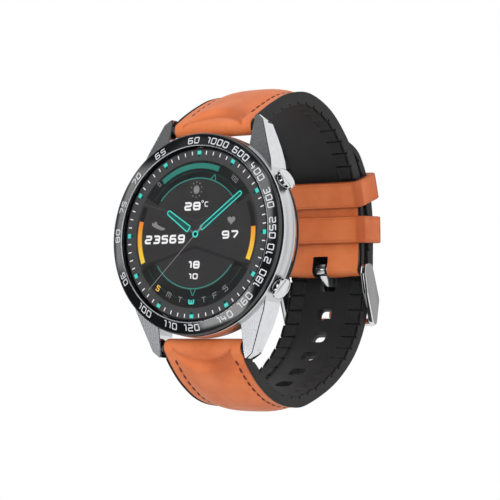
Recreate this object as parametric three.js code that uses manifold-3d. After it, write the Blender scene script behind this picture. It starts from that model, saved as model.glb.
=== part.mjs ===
// Round smartwatch on a buckled two-layer strap, as an assembly of separate pieces.
//
// Units are millimetres. The origin is the centre of the flat sensor window on the case
// back. +X points to 3 o'clock, +Z to 12 o'clock and +Y to the wrist, so the dial faces -Y
// and the strap closes into a loop on the +Y side.

import * as THREE from 'three';
import { mergeVertices } from 'three/addons/utils/BufferGeometryUtils.js';
import Module from 'manifold-3d';

const wasm = await Module();
wasm.setup();

// ---------------------------------------------------------------- driving dimensions

const FINE_SEGMENTS = 48;
const ROUND_SEGMENTS = 20;
const SMALL_SEGMENTS = 10;
const FIT_GAP = 0.3;
const SEAT_GAP = 0.1;

const CASE = {
  radius: 23.2,
  frontRadius: 22.7,
  rearRadius: 21.7,
  boreRadius: 18.4,
  frontY: -9.3,
  sideFrontY: -8.7,
  sideRearY: -5.0,
  rearY: -1.9,
  ledgeRadius: 19.4,
  ledgeY: -2.6,
};

const BEZEL = {
  radius: 23.0,
  innerRadius: 19.9,
  topY: -11.6,
  rimY: -10.9,
  bottomY: -9.6,
};

const GLASS = { radius: 19.6, frontY: -11.2, rearY: -10.4 };
const DISPLAY = { radius: 18.7, frontY: -10.2, rearY: -9.6 };
const INNER_FRAME = { radius: 18.1, frontY: -9.2, rearY: -8.5 };
const BOARD = { radius: 17.2, frontY: -8.1, rearY: -7.4 };
const REAR_COVER = { radius: 21.7, flatRadius: 20.9, frontY: -1.6, rearY: -0.8 };
const WINDOW = { radius: 8.1, flatRadius: 7.3, frontY: -1.1 };

const LUG = {
  innerX: 11.3,
  rootX: 18.6,
  shoulderX: 17.6,
  tipX: 13.7,
  rootZ: 13.0,
  shoulderZ: 17.0,
  tipOuterZ: 26.3,
  tipZ: 27.6,
  tipFrontY: -5.6,
  tipRearY: -2.2,
};

const STRAP = {
  width: 22.0,
  upperThickness: 3.2,
  lowerThickness: 2.8,
  upperLeather: 1.3,
  lowerLeather: 1.1,
  layerGap: 0.65,
  knuckleRadius: 1.7,
  knuckleHole: 1.1,
};

const BAR = { y: -4.2, z: 25.4, radius: 0.85, boreRadius: 0.6, pinRadius: 0.4 };
const BAR_HALF_LENGTH = 10.9;
const PIN_REACH = 12.9;
const RELEASE = { leverX: 7.9, leverRadius: 0.35, leverReach: 2.5 };

const BUTTON = {
  angle: 30,
  y: -6.6,
  capRadius: 2.5,
  capRim: 23.8,
  capShoulder: 24.8,
  capTop: 25.3,
  capCeiling: 24.5,
  stemEnd: 17.9,
};

const BUCKLE = {
  barY: 44.9,
  barZ: -2.0,
  barRadius: 0.65,
  crossY: 49.6,
  crossZ: -14.6,
  crossRadius: 1.1,
  armInnerX: 11.6,
  armOuterX: 13.1,
  tangWidth: 3.4,
};

const KEEPER = { wall: 1.4, sideGap: 0.4, depthGap: 0.55 };

// Outer face of the buckle-side strap half, from the 12 o'clock bar to the buckle (y, z).
const UPPER_CURVE_POINTS = [
  [-5.4, 26.6],
  [-2.4, 28.8],
  [2.4, 31.8],
  [9.0, 35.0],
  [17.6, 36.6],
  [27.2, 34.4],
  [35.0, 29.3],
  [40.4, 23.5],
  [43.8, 17.5],
  [45.7, 11.0],
  [46.5, 4.0],
  [46.7, -3.6],
];

// Outer face of the hole-side half from the 6 o'clock bar round to the buckle (y, z).
const LOWER_CURVE_POINTS = [
  [-5.4, -26.6],
  [-2.6, -29.6],
  [2.0, -33.2],
  [8.2, -36.2],
  [15.0, -37.3],
  [22.0, -36.5],
  [33.6, -31.3],
  [42.0, -24.6],
  [46.7, -17.6],
  [48.9, -10.0],
];

// Places along the upper curve, as a share of its length, that the tail lies over.
const TAIL_SHARES = [0.98, 0.93, 0.87, 0.81, 0.75, 0.69, 0.64, 0.6, 0.565];
const TURN_BACK_SHARE = 0.762;
const FIXED_KEEPER_SHARE = 0.859;
const FREE_KEEPER_SHARE = 0.738;
const FIXED_KEEPER_WIDTH = 6.6;
const FREE_KEEPER_WIDTH = 6.4;

// The pin leans through its own hole, which is cut longer and along the pin.
const TANG_HOLE = { width: 4.6, length: 5.3, z: -5.9, lean: 45 };
const PLAIN_HOLE = { width: 4.2, length: 3.1, first: 8.0, pitch: 6.9, count: 5 };

const SCREW_CLEARANCE_RADIUS = 0.75;
const SCREW_SHANK_RADIUS = 0.45;
const BUTTON_HOLE = { radius: 2.05, start: 17.0, end: 24.5 };
const SPRING_BAR_HOLE = { radius: 0.7, reach: 13.1 };
const TUBE = {
  innerRadius: 1.0,
  outerRadius: 1.75,
  boreRadius: 1.45,
  start: 18.95,
  step: 21.6,
  end: 23.6,
};
const SEAL = { radius: 1.1, thickness: 0.22, centre: 21.95 };
const CLIP = { innerRadius: 0.9, outerRadius: 1.5, start: 18.3, end: 18.6 };
const CAP_SPRING = { radius: 1.15, wireRadius: 0.13, start: 22.3, turns: 3 };
const CAP_STEM = { radius: 0.8, boreRadius: 1.95 };
const SWITCH = { x: [16.0, 17.2], y: [-7.3, -5.2], z: [-1.5, 1.5] };
const PROCESSOR = { x: [-7, 1], y: [-7.1, -5.9], z: [11.2, 15.6] };
const LED = { nearX: 2.4, farX: 4.0, y: [-2.2, -1.6], halfZ: 0.8 };
const PHOTODIODE_HALF = 1.3;
const BOARD_SCREW = { headRadius: 0.9, headFrontY: -7.1, headRearY: -6.6, tipY: -8.8 };
const REAR_SCREW = { headRadius: 1.0, headFrontY: -1.3, headRearY: -0.8, tipY: -3.6 };
const GLASS_SEAL_INNER_RADIUS = 18.9;
const GASKET = { innerRadius: 18.6, outerRadius: 19.3, frontY: -2.5, rearY: -1.75 };
const SENSOR_BOARD = { radius: 7.2, frontY: -2.9, rearY: -2.3 };
const FLEX = { innerRadius: 15.0, outerRadius: 15.3 };
const RELEASE_SPRING = { radius: 0.38, wireRadius: 0.1, start: 3.4, end: 5.3, turns: 3 };
const RELEASE_PIN_START = 5.5;
const RELEASE_KNOB = { radius: 0.6, height: 0.7 };
const BAR_BORE_START = 3.2;
const BAR_SLOT = { x: [5.9, 8.6], depth: 1.5, halfZ: 0.6 };
const LEVER_WINDOW = { x: [5.2, 9.3], depth: 6.0, inward: 1.2, halfZ: 0.9 };
const HOLE_CORNER = 1.3;
const END_ROLL_RADIUS = 1.85;
const FACE_END_SHARE = 0.985;
const UPPER_LINER_START_SHARE = 0.02;
const LOWER_LINER_START_SHARE = 0.015;
const TANG_SLOT = { halfX: 2.4, y: [42, 48.5], below: 4, above: 2.2 };
const KEEPER_CORNER = { outer: 1.6, inner: 0.4 };
const TANG_EYE_RADIUS = 1.6;

// ---------------------------------------------------------------- solids and meshes

const GEOMETRY_TOLERANCE = 1e-4;

function toSolid(source) {
  const bare = source.clone();
  bare.deleteAttribute('normal');
  bare.deleteAttribute('uv');
  const merged = mergeVertices(bare, GEOMETRY_TOLERANCE);
  const position = merged.attributes.position;
  const triangles = [];
  let volume = 0;
  const corner = [new THREE.Vector3(), new THREE.Vector3(), new THREE.Vector3()];
  for (let i = 0; i < merged.index.count; i += 3) {
    const ids = [0, 1, 2].map((k) => merged.index.getX(i + k));
    if (ids[0] === ids[1] || ids[1] === ids[2] || ids[2] === ids[0]) continue;
    ids.forEach((id, k) => corner[k].fromBufferAttribute(position, id));
    volume += corner[0].dot(corner[1].clone().cross(corner[2]));
    triangles.push(ids);
  }
  const outward = volume > 0 ? triangles : triangles.map(([a, b, c]) => [a, c, b]);
  return new wasm.Manifold(new wasm.Mesh({
    numProp: 3,
    vertProperties: new Float32Array(position.array),
    triVerts: new Uint32Array(outward.flat()),
  }));
}

function toGeometry(solid) {
  const mesh = solid.getMesh();
  const geometry = new THREE.BufferGeometry();
  geometry.setAttribute('position', new THREE.BufferAttribute(mesh.vertProperties, 3));
  geometry.setIndex(new THREE.BufferAttribute(mesh.triVerts, 1));
  geometry.computeVertexNormals();
  return geometry;
}

// Joins the first solid with all the others.
function join(first, ...others) {
  return others.reduce((sum, next) => sum.add(next), first);
}

// Cuts all the others out of the first solid.
function cut(first, ...others) {
  return others.reduce((rest, next) => rest.subtract(next), first);
}

const watch = new THREE.Group();

function piece(name, solid, material) {
  const mesh = new THREE.Mesh(toGeometry(solid), material.clone());
  mesh.name = name;
  watch.add(mesh);
}

function finish(color, roughness, metalness) {
  return new THREE.MeshStandardMaterial({ color, roughness, metalness });
}

const STEEL = finish(0xc9cbcd, 0.28, 1.0);
const CERAMIC = finish(0x16181a, 0.12, 0.1);
const CLEAR_GLASS = new THREE.MeshStandardMaterial({
  color: 0xdfe6e8,
  roughness: 0.03,
  metalness: 0.0,
  transparent: true,
  opacity: 0.25,
});
const SCREEN = finish(0x0c0d0f, 0.35, 0.0);
const BLACK_PLASTIC = finish(0x1d1e20, 0.5, 0.0);
const RUBBER = finish(0x222325, 0.75, 0.0);
const GREEN_BOARD = finish(0x155038, 0.55, 0.1);
const TINPLATE = finish(0xb7babd, 0.35, 0.9);
const COPPER_FILM = finish(0xb9772f, 0.5, 0.3);
const CELL = finish(0x8e9499, 0.45, 0.6);
const GOLD = finish(0xd7b15c, 0.25, 1.0);
const LED_LENS = finish(0x7fdc8a, 0.2, 0.0);
const LEATHER = finish(0xcd7440, 0.6, 0.0);
const SILICONE = finish(0x303133, 0.7, 0.0);

// ---------------------------------------------------------------- shape helpers

const AXIS_X = new THREE.Vector3(1, 0, 0);
const AXIS_Y = new THREE.Vector3(0, 1, 0);
const AXIS_Z = new THREE.Vector3(0, 0, 1);
const HALF_TURN = Math.PI;
const DEGREE = Math.PI / 180;

// Turns an outline of (radius, y) points about the Y axis.
function lathe(points, segments = FINE_SEGMENTS) {
  const outline = points.map(([r, y]) => new THREE.Vector2(r, y));
  const onAxis = points[0][0] === 0;
  if (!onAxis) outline.push(outline[0].clone());
  return toSolid(new THREE.LatheGeometry(outline, segments));
}

function disc(radius, yFrom, yTo, x = 0, z = 0, segments = ROUND_SEGMENTS) {
  const geometry = new THREE.CylinderGeometry(radius, radius, yTo - yFrom, segments);
  geometry.translate(x, (yFrom + yTo) / 2, z);
  return toSolid(geometry);
}

function hoop(innerRadius, outerRadius, yFrom, yTo, segments = FINE_SEGMENTS) {
  return lathe([
    [innerRadius, yFrom],
    [outerRadius, yFrom],
    [outerRadius, yTo],
    [innerRadius, yTo],
  ], segments);
}

function box([x0, x1], [y0, y1], [z0, z1]) {
  const geometry = new THREE.BoxGeometry(x1 - x0, y1 - y0, z1 - z0);
  geometry.translate((x0 + x1) / 2, (y0 + y1) / 2, (z0 + z1) / 2);
  return toSolid(geometry);
}

// A rod along X, at the height and depth of its centre line.
function rod(radius, xFrom, xTo, y, z, segments = SMALL_SEGMENTS) {
  const geometry = new THREE.CylinderGeometry(radius, radius, xTo - xFrom, segments);
  geometry.rotateZ(HALF_TURN / 2);
  geometry.translate((xFrom + xTo) / 2, y, z);
  return toSolid(geometry);
}

// Extrudes a side view, drawn in (y, z), across the width from xFrom to xTo.
function acrossWidth(shape, xFrom, xTo) {
  const geometry = new THREE.ExtrudeGeometry(shape, { depth: xTo - xFrom, bevelEnabled: false });
  geometry.applyMatrix4(new THREE.Matrix4().makeBasis(AXIS_Y, AXIS_Z, AXIS_X));
  geometry.translate(xFrom, 0, 0);
  return toSolid(geometry);
}

// Extrudes a front view, drawn in (x, z), through the depth from yFrom to yTo.
function throughDepth(shape, yFrom, yTo) {
  const geometry = new THREE.ExtrudeGeometry(shape, { depth: yTo - yFrom, bevelEnabled: false });
  geometry.applyMatrix4(new THREE.Matrix4().makeBasis(AXIS_X, AXIS_Z, AXIS_Y.clone().negate()));
  geometry.translate(0, yTo, 0);
  return toSolid(geometry);
}

function polygon(points) {
  return new THREE.Shape(points.map(([a, b]) => new THREE.Vector2(a, b)));
}

// Turns a solid that is built along +X so that it points out of the case at an angle.
function pointOut(solid, degrees) {
  return solid.rotate([0, -degrees, 0]);
}

// A wire coiled about the X axis.
function coil(meanRadius, wireRadius, xFrom, xTo, y, z, turns) {
  const stepsPerTurn = 9;
  const steps = turns * stepsPerTurn;
  const points = [];
  for (let i = 0; i <= steps; i += 1) {
    const angle = (i / stepsPerTurn) * 2 * HALF_TURN;
    const x = xFrom + wireRadius + (i / steps) * (xTo - xFrom - 2 * wireRadius);
    points.push(new THREE.Vector3(
      x,
      y + meanRadius * Math.cos(angle),
      z + meanRadius * Math.sin(angle),
    ));
  }
  const section = new THREE.Shape();
  section.absarc(0, 0, wireRadius, 0, 2 * HALF_TURN);
  return toSolid(new THREE.ExtrudeGeometry(section, {
    steps,
    curveSegments: 3,
    bevelEnabled: false,
    extrudePath: new THREE.CatmullRomCurve3(points),
  }));
}

// ---------------------------------------------------------------- case

const LUG_SIGNS = [
  [1, 1],
  [-1, 1],
  [1, -1],
  [-1, -1],
];

// A lug is the overlap of its side view and its front view.
function lug(signX, signZ) {
  const side = polygon([
    [-8.7, LUG.rootZ],
    [-7.4, 20.0],
    [LUG.tipFrontY, LUG.tipZ],
    [LUG.tipRearY, LUG.tipZ - 0.3],
    [-1.4, 21.0],
    [-2.2, LUG.rootZ],
  ].map(([y, z]) => [y, z * signZ]));
  const front = polygon([
    [LUG.innerX, LUG.rootZ],
    [LUG.rootX, LUG.rootZ],
    [LUG.shoulderX, LUG.shoulderZ],
    [LUG.tipX, LUG.tipOuterZ],
    [LUG.innerX, LUG.tipZ],
  ].map(([x, z]) => [x * signX, z * signZ]));
  const width = acrossWidth(side, -CASE.radius, CASE.radius);
  return width.intersect(throughDepth(front, -CASE.radius, 0));
}

function caseMiddle() {
  const ring = lathe([
    [CASE.boreRadius, CASE.frontY],
    [CASE.frontRadius, CASE.frontY],
    [CASE.radius, CASE.sideFrontY],
    [CASE.radius, CASE.sideRearY],
    [CASE.rearRadius, CASE.rearY],
    [CASE.ledgeRadius, CASE.rearY],
    [CASE.ledgeRadius, CASE.ledgeY],
    [CASE.boreRadius, CASE.ledgeY],
  ]);
  const bore = disc(CASE.boreRadius, CASE.frontY - 1, CASE.rearY + 1, 0, 0, FINE_SEGMENTS);
  const gasketStep = disc(CASE.ledgeRadius, CASE.ledgeY, CASE.rearY + 1, 0, 0, FINE_SEGMENTS);
  const coverSeat = disc(REAR_COVER.radius + FIT_GAP, CASE.rearY, 0, 0, 0, FINE_SEGMENTS);
  const lugs = LUG_SIGNS.map(([signX, signZ]) => (
    cut(lug(signX, signZ), bore, gasketStep, coverSeat)
  ));
  const { radius, reach } = SPRING_BAR_HOLE;
  const barHoles = [BAR.z, -BAR.z].map((z) => rod(radius, -reach, reach, BAR.y, z));
  const buttonHoles = [BUTTON.angle, -BUTTON.angle].map((angle) => (
    pointOut(
      rod(BUTTON_HOLE.radius, BUTTON_HOLE.start, BUTTON_HOLE.end, BUTTON.y, 0, ROUND_SEGMENTS),
      angle,
    )
  ));
  const screwHoles = rearScrewPlaces().map(([x, z]) => (
    disc(SCREW_CLEARANCE_RADIUS, -4.0, CASE.rearY + 1, x, z, SMALL_SEGMENTS)
  ));
  return cut(join(ring, ...lugs), ...barHoles, ...buttonHoles, ...screwHoles);
}

function bezelRing() {
  return lathe([
    [BEZEL.innerRadius, BEZEL.bottomY],
    [BEZEL.radius - 0.4, BEZEL.bottomY],
    [BEZEL.radius, BEZEL.rimY + 0.4],
    [BEZEL.radius - 0.2, BEZEL.rimY],
    [BEZEL.innerRadius + 0.3, BEZEL.topY],
    [BEZEL.innerRadius, BEZEL.topY + 0.2],
  ]);
}

// ---------------------------------------------------------------- inside the case

const BATTERY = { radius: 10.0, x: -1.5, frontY: -6.9, rearY: -3.3 };
const MOTOR = { z: -14.0, radius: 3.6, innerRadius: 3.2, frontY: -6.9, rearY: -4.3 };
const BOARD_SCREW_ANGLES = [55, 150, 235];
const BOARD_SCREW_RADIUS = 16.2;
const REAR_SCREW_RADIUS = 20.2;
const CONTACT = { x: 3.2, z: -14.2, radius: 1.0 };

function polar(radius, degrees) {
  return [radius * Math.cos(degrees * DEGREE), radius * Math.sin(degrees * DEGREE)];
}

function rearScrewPlaces() {
  return [45, 135, 225, 315].map((angle) => polar(REAR_SCREW_RADIUS, angle));
}

function boardScrewPlaces() {
  return BOARD_SCREW_ANGLES.map((angle) => polar(BOARD_SCREW_RADIUS, angle));
}

function screwClearance(yFrom, yTo) {
  return boardScrewPlaces().map(([x, z]) => disc(
    SCREW_CLEARANCE_RADIUS, yFrom, yTo, x, z, SMALL_SEGMENTS,
  ));
}

// A round head on a plain shank that runs towards the dial.
function screw(x, z, { headRadius, headFrontY, headRearY, tipY }) {
  return join(
    disc(headRadius, headFrontY, headRearY, x, z, SMALL_SEGMENTS),
    disc(SCREW_SHANK_RADIUS, tipY, headFrontY + 0.05, x, z, SMALL_SEGMENTS),
  );
}

function innerFrame() {
  const plate = disc(INNER_FRAME.radius, INNER_FRAME.frontY, INNER_FRAME.rearY, 0, 0, FINE_SEGMENTS);
  const cableWindow = box([-6, 6], [-10, -8], [-15, -11]);
  return cut(plate, cableWindow, ...screwClearance(-10, -8));
}

function mainBoard() {
  const plate = disc(BOARD.radius, BOARD.frontY, BOARD.rearY, 0, 0, FINE_SEGMENTS);
  const cableNotch = box([-5, 5], [-9, -7], [-20, -16.2]);
  return cut(plate, cableNotch, ...screwClearance(-9, -7));
}

function motorCan() {
  return lathe([
    [0, MOTOR.frontY],
    [MOTOR.radius, MOTOR.frontY],
    [MOTOR.radius, MOTOR.rearY],
    [MOTOR.innerRadius, MOTOR.rearY],
    [MOTOR.innerRadius, MOTOR.frontY + 0.3],
    [0, MOTOR.frontY + 0.3],
  ], ROUND_SEGMENTS).translate([0, 0, MOTOR.z]);
}

// The off-centre weight: half a disc with a round hub.
function motorRotor() {
  const outline = new THREE.Shape();
  outline.absarc(0, 0, 2.8, 0, HALF_TURN);
  outline.absarc(0, 0, 0.9, HALF_TURN, 2 * HALF_TURN);
  const weight = throughDepth(outline, -6.2, -4.8).translate([0, 0, MOTOR.z]);
  return cut(weight, disc(0.5, -7, -4, 0, MOTOR.z, SMALL_SEGMENTS));
}

function buttonFlex() {
  const outline = new THREE.Shape();
  const reach = (BUTTON.angle + 8) * DEGREE;
  outline.absarc(0, 0, FLEX.outerRadius, -reach, reach);
  outline.absarc(0, 0, FLEX.innerRadius, reach, -reach, true);
  return throughDepth(outline, -6.6, -4.6);
}

function rearCover() {
  const plate = lathe([
    [WINDOW.radius - 0.5, REAR_COVER.frontY],
    [REAR_COVER.radius, REAR_COVER.frontY],
    [REAR_COVER.radius, REAR_COVER.rearY - 0.4],
    [REAR_COVER.flatRadius, REAR_COVER.rearY],
    [WINDOW.radius + FIT_GAP, REAR_COVER.rearY],
    [WINDOW.radius + FIT_GAP, REAR_COVER.frontY + 0.25],
    [WINDOW.radius - 0.5, REAR_COVER.frontY + 0.25],
  ]);
  const sinks = rearScrewPlaces().flatMap(([x, z]) => [
    disc(1.3, -1.35, 0, x, z, SMALL_SEGMENTS),
    disc(SCREW_CLEARANCE_RADIUS, -2, 0, x, z, SMALL_SEGMENTS),
  ]);
  const contactHoles = [CONTACT.x, -CONTACT.x].map((x) => (
    disc(CONTACT.radius + FIT_GAP, -2, 0, x, CONTACT.z, SMALL_SEGMENTS)
  ));
  return cut(plate, ...sinks, ...contactHoles);
}

function sensorWindow() {
  return lathe([
    [0, WINDOW.frontY],
    [WINDOW.radius, WINDOW.frontY],
    [WINDOW.radius, -0.6],
    [WINDOW.flatRadius, 0],
    [0, 0],
  ]);
}

function buildCase() {
  piece('case_middle', caseMiddle(), STEEL);
  piece('bezel_ring', bezelRing(), CERAMIC);
  piece('cover_glass', disc(GLASS.radius, GLASS.frontY, GLASS.rearY, 0, 0, FINE_SEGMENTS),
    CLEAR_GLASS);
  piece('glass_seal', hoop(GLASS_SEAL_INNER_RADIUS, GLASS.radius, DISPLAY.frontY, DISPLAY.rearY), RUBBER);
  piece('display_panel',
    disc(DISPLAY.radius, DISPLAY.frontY, DISPLAY.rearY, 0, 0, FINE_SEGMENTS), SCREEN);
  piece('inner_frame', innerFrame(), BLACK_PLASTIC);
  piece('main_board', mainBoard(), GREEN_BOARD);
  piece('processor_can', box(PROCESSOR.x, PROCESSOR.y, PROCESSOR.z), TINPLATE);
  piece('radio_module', box([-16, -12.2], [-7.1, -5.9], [-5, 3]), BLACK_PLASTIC);
  piece('battery', disc(BATTERY.radius, BATTERY.frontY, BATTERY.rearY, BATTERY.x, 0), CELL);
  piece('button_flex', buttonFlex(), COPPER_FILM);
  boardScrewPlaces().forEach(([x, z], i) => {
    piece(`board_screw_${i + 1}`, screw(x, z, BOARD_SCREW), STEEL);
  });
}

function buildMotor() {
  piece('motor_can', motorCan(), TINPLATE);
  piece('motor_lid', disc(MOTOR.radius, -4.2, -3.9, 0, MOTOR.z), TINPLATE);
  piece('motor_shaft', disc(0.35, -6.5, -4.5, 0, MOTOR.z, SMALL_SEGMENTS), STEEL);
  piece('motor_rotor', motorRotor(), STEEL);
}

function buildRear() {
  piece('rear_gasket', hoop(GASKET.innerRadius, GASKET.outerRadius, GASKET.frontY, GASKET.rearY), RUBBER);
  piece('rear_cover', rearCover(), BLACK_PLASTIC);
  piece('sensor_window', sensorWindow(), CLEAR_GLASS);
  piece('sensor_board', disc(SENSOR_BOARD.radius, SENSOR_BOARD.frontY, SENSOR_BOARD.rearY), GREEN_BOARD);
  piece('pulse_led_left', box([-LED.farX, -LED.nearX], LED.y, [-LED.halfZ, LED.halfZ]), LED_LENS);
  piece('pulse_led_right', box([LED.nearX, LED.farX], LED.y, [-LED.halfZ, LED.halfZ]), LED_LENS);
  const sensorSpan = [-PHOTODIODE_HALF, PHOTODIODE_HALF];
  piece('photodiode', box(sensorSpan, LED.y, sensorSpan), BLACK_PLASTIC);
  piece('charge_contact_left',
    disc(CONTACT.radius, -2.6, -0.7, -CONTACT.x, CONTACT.z, SMALL_SEGMENTS), GOLD);
  piece('charge_contact_right',
    disc(CONTACT.radius, -2.6, -0.7, CONTACT.x, CONTACT.z, SMALL_SEGMENTS), GOLD);
  rearScrewPlaces().forEach(([x, z], i) => {
    piece(`rear_screw_${i + 1}`, screw(x, z, REAR_SCREW), STEEL);
  });
}

// ---------------------------------------------------------------- push buttons

// Every part of a button is built along +X and then turned to its place.
function buttonCap() {
  const profile = [
    [0, BUTTON.capTop],
    [1.5, BUTTON.capTop - 0.12],
    [BUTTON.capRadius - 0.2, BUTTON.capShoulder + 0.15],
    [BUTTON.capRadius, BUTTON.capShoulder - 0.1],
    [BUTTON.capRadius, BUTTON.capRim],
    [CAP_STEM.boreRadius, BUTTON.capRim],
    [CAP_STEM.boreRadius, BUTTON.capCeiling],
    [CAP_STEM.radius, BUTTON.capCeiling],
    [CAP_STEM.radius, BUTTON.stemEnd],
    [0, BUTTON.stemEnd],
  ];
  return lathe(profile, ROUND_SEGMENTS);
}

function buttonTube() {
  return lathe([
    [TUBE.innerRadius, TUBE.start],
    [TUBE.outerRadius, TUBE.start],
    [TUBE.outerRadius, TUBE.end],
    [TUBE.boreRadius, TUBE.end],
    [TUBE.boreRadius, TUBE.step],
    [TUBE.innerRadius, TUBE.step],
  ], ROUND_SEGMENTS);
}

function buttonSeal() {
  const geometry = new THREE.TorusGeometry(SEAL.radius, SEAL.thickness, 6, SMALL_SEGMENTS);
  geometry.rotateX(HALF_TURN / 2);
  geometry.translate(0, SEAL.centre, 0);
  return toSolid(geometry);
}

// Lays a solid built along +Y on the button's own line.
function ontoButton(solid, angle) {
  return pointOut(solid.rotate([0, 0, -90]).translate([0, BUTTON.y, 0]), angle);
}

function buildButton(prefix, angle) {
  piece(`${prefix}_button_cap`, ontoButton(buttonCap(), angle), STEEL);
  piece(`${prefix}_button_tube`, ontoButton(buttonTube(), angle), STEEL);
  piece(`${prefix}_button_seal`, ontoButton(buttonSeal(), angle), RUBBER);
  piece(`${prefix}_button_clip`,
    ontoButton(
      hoop(CLIP.innerRadius, CLIP.outerRadius, CLIP.start, CLIP.end, SMALL_SEGMENTS), angle,
    ), STEEL);
  piece(`${prefix}_button_spring`,
    pointOut(coil(CAP_SPRING.radius, CAP_SPRING.wireRadius, CAP_SPRING.start,
      BUTTON.capCeiling - SEAT_GAP, BUTTON.y, 0, CAP_SPRING.turns), angle), STEEL);
  piece(`${prefix}_button_switch`,
    pointOut(box(SWITCH.x, SWITCH.y, SWITCH.z), angle), BLACK_PLASTIC);
}

// ---------------------------------------------------------------- spring bars

// The bar is hollow at its right end, with a slot for the lever of the release pin.
function springBar(z) {
  const tube = rod(BAR.radius, -BAR_HALF_LENGTH, BAR_HALF_LENGTH, BAR.y, z);
  const bore = rod(BAR.boreRadius, BAR_BORE_START, BAR_HALF_LENGTH + 1, BAR.y, z);
  const slot = box(BAR_SLOT.x, [BAR.y, BAR.y + BAR_SLOT.depth],
    [z - BAR_SLOT.halfZ, z + BAR_SLOT.halfZ]);
  const leftPin = rod(BAR.pinRadius, -PIN_REACH, -BAR_HALF_LENGTH + 0.1, BAR.y, z);
  return join(cut(tube, bore, slot), leftPin);
}

function releasePin(z) {
  const pin = rod(BAR.pinRadius, RELEASE_PIN_START, PIN_REACH, BAR.y, z);
  const lever = disc(RELEASE.leverRadius, BAR.y, BAR.y + RELEASE.leverReach,
    RELEASE.leverX, z, SMALL_SEGMENTS);
  const knob = disc(RELEASE_KNOB.radius, BAR.y + RELEASE.leverReach - RELEASE_KNOB.height,
    BAR.y + RELEASE.leverReach,
    RELEASE.leverX, z, SMALL_SEGMENTS);
  return join(pin, lever, knob);
}

function buildSpringBar(prefix, z) {
  piece(`${prefix}_spring_bar`, springBar(z), STEEL);
  piece(`${prefix}_release_pin`, releasePin(z), STEEL);
  piece(`${prefix}_bar_spring`, coil(RELEASE_SPRING.radius, RELEASE_SPRING.wireRadius,
    RELEASE_SPRING.start, RELEASE_SPRING.end, BAR.y, z, RELEASE_SPRING.turns), STEEL);
}

// ---------------------------------------------------------------- strap

const upperCurve = new THREE.SplineCurve(
  UPPER_CURVE_POINTS.map(([y, z]) => new THREE.Vector2(y, z)),
);

// The point at a share of the curve's length, moved out of the loop by a distance.
function besideCurve(curve, share, distance, outwardSign) {
  const point = curve.getPointAt(share);
  const tangent = curve.getTangentAt(share);
  const normal = new THREE.Vector2(-tangent.y, tangent.x).multiplyScalar(outwardSign);
  return point.addScaledVector(normal, distance);
}

// The upper curve runs clockwise and the lower one anticlockwise, seen from +X.
const UPPER_SIGN = 1;
const LOWER_SIGN = -1;

function tailPoints() {
  const reach = STRAP.layerGap + STRAP.lowerThickness;
  return TAIL_SHARES.map((share) => besideCurve(upperCurve, share, reach, UPPER_SIGN));
}

const lowerCurve = new THREE.SplineCurve([
  ...LOWER_CURVE_POINTS.map(([y, z]) => new THREE.Vector2(y, z)),
  ...tailPoints(),
]);

// A layer of the strap between two depths under the outer face.
function layer(curve, sign, shareFrom, shareTo, depthFrom, depthTo, steps) {
  const outer = [];
  const inner = [];
  for (let i = 0; i <= steps; i += 1) {
    const share = shareFrom + (shareTo - shareFrom) * (i / steps);
    outer.push(besideCurve(curve, share, -depthFrom, sign));
    inner.push(besideCurve(curve, share, -depthTo, sign));
  }
  const outline = new THREE.Shape([...outer, ...inner.reverse()]);
  return acrossWidth(outline, -STRAP.width / 2, STRAP.width / 2);
}

function knuckle(z) {
  return rod(STRAP.knuckleRadius, -STRAP.width / 2, STRAP.width / 2, BAR.y, z, ROUND_SEGMENTS);
}

// The bore for the spring bar and the window that its lever moves in.
function barPassage(z) {
  const inner = z - Math.sign(z) * LEVER_WINDOW.inward;
  const windowZ = [Math.min(z, inner), Math.max(z, inner)];
  return [
    rod(STRAP.knuckleHole, -12, 12, BAR.y, z, ROUND_SEGMENTS),
    box(LEVER_WINDOW.x, [BAR.y - 0.2, BAR.y + LEVER_WINDOW.depth],
      [windowZ[0] - LEVER_WINDOW.halfZ, windowZ[1] + LEVER_WINDOW.halfZ]),
  ];
}

// A hole through both layers of the strap at a share of a curve, square to its face.
function strapHole(curve, share, { width, length, lean = 0 }) {
  const centre = besideCurve(curve, share, STRAP.lowerThickness / 2, 1);
  const tangent = curve.getTangentAt(share);
  const outline = roundedRectangle(width / 2, -length / 2, length / 2, HOLE_CORNER);
  const geometry = new THREE.ExtrudeGeometry(outline, {
    depth: 12,
    bevelEnabled: false,
    curveSegments: 3,
  });
  geometry.translate(0, 0, -6);
  geometry.applyMatrix4(new THREE.Matrix4().makeShear(0, 0, 0, 0, 0, Math.tan(lean * DEGREE)));
  const along = new THREE.Vector3(0, tangent.x, tangent.y);
  const out = AXIS_X.clone().cross(along);
  geometry.applyMatrix4(new THREE.Matrix4().makeBasis(AXIS_X, along, out));
  geometry.translate(0, centre.x, centre.y);
  return toSolid(geometry);
}

function shareAtHeight(curve, z, shareFrom, shareTo) {
  const steps = 400;
  let best = shareFrom;
  let least = Infinity;
  for (let i = 0; i <= steps; i += 1) {
    const share = shareFrom + (shareTo - shareFrom) * (i / steps);
    const error = Math.abs(curve.getPointAt(share).y - z);
    if (error < least) {
      least = error;
      best = share;
    }
  }
  return best;
}

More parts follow.
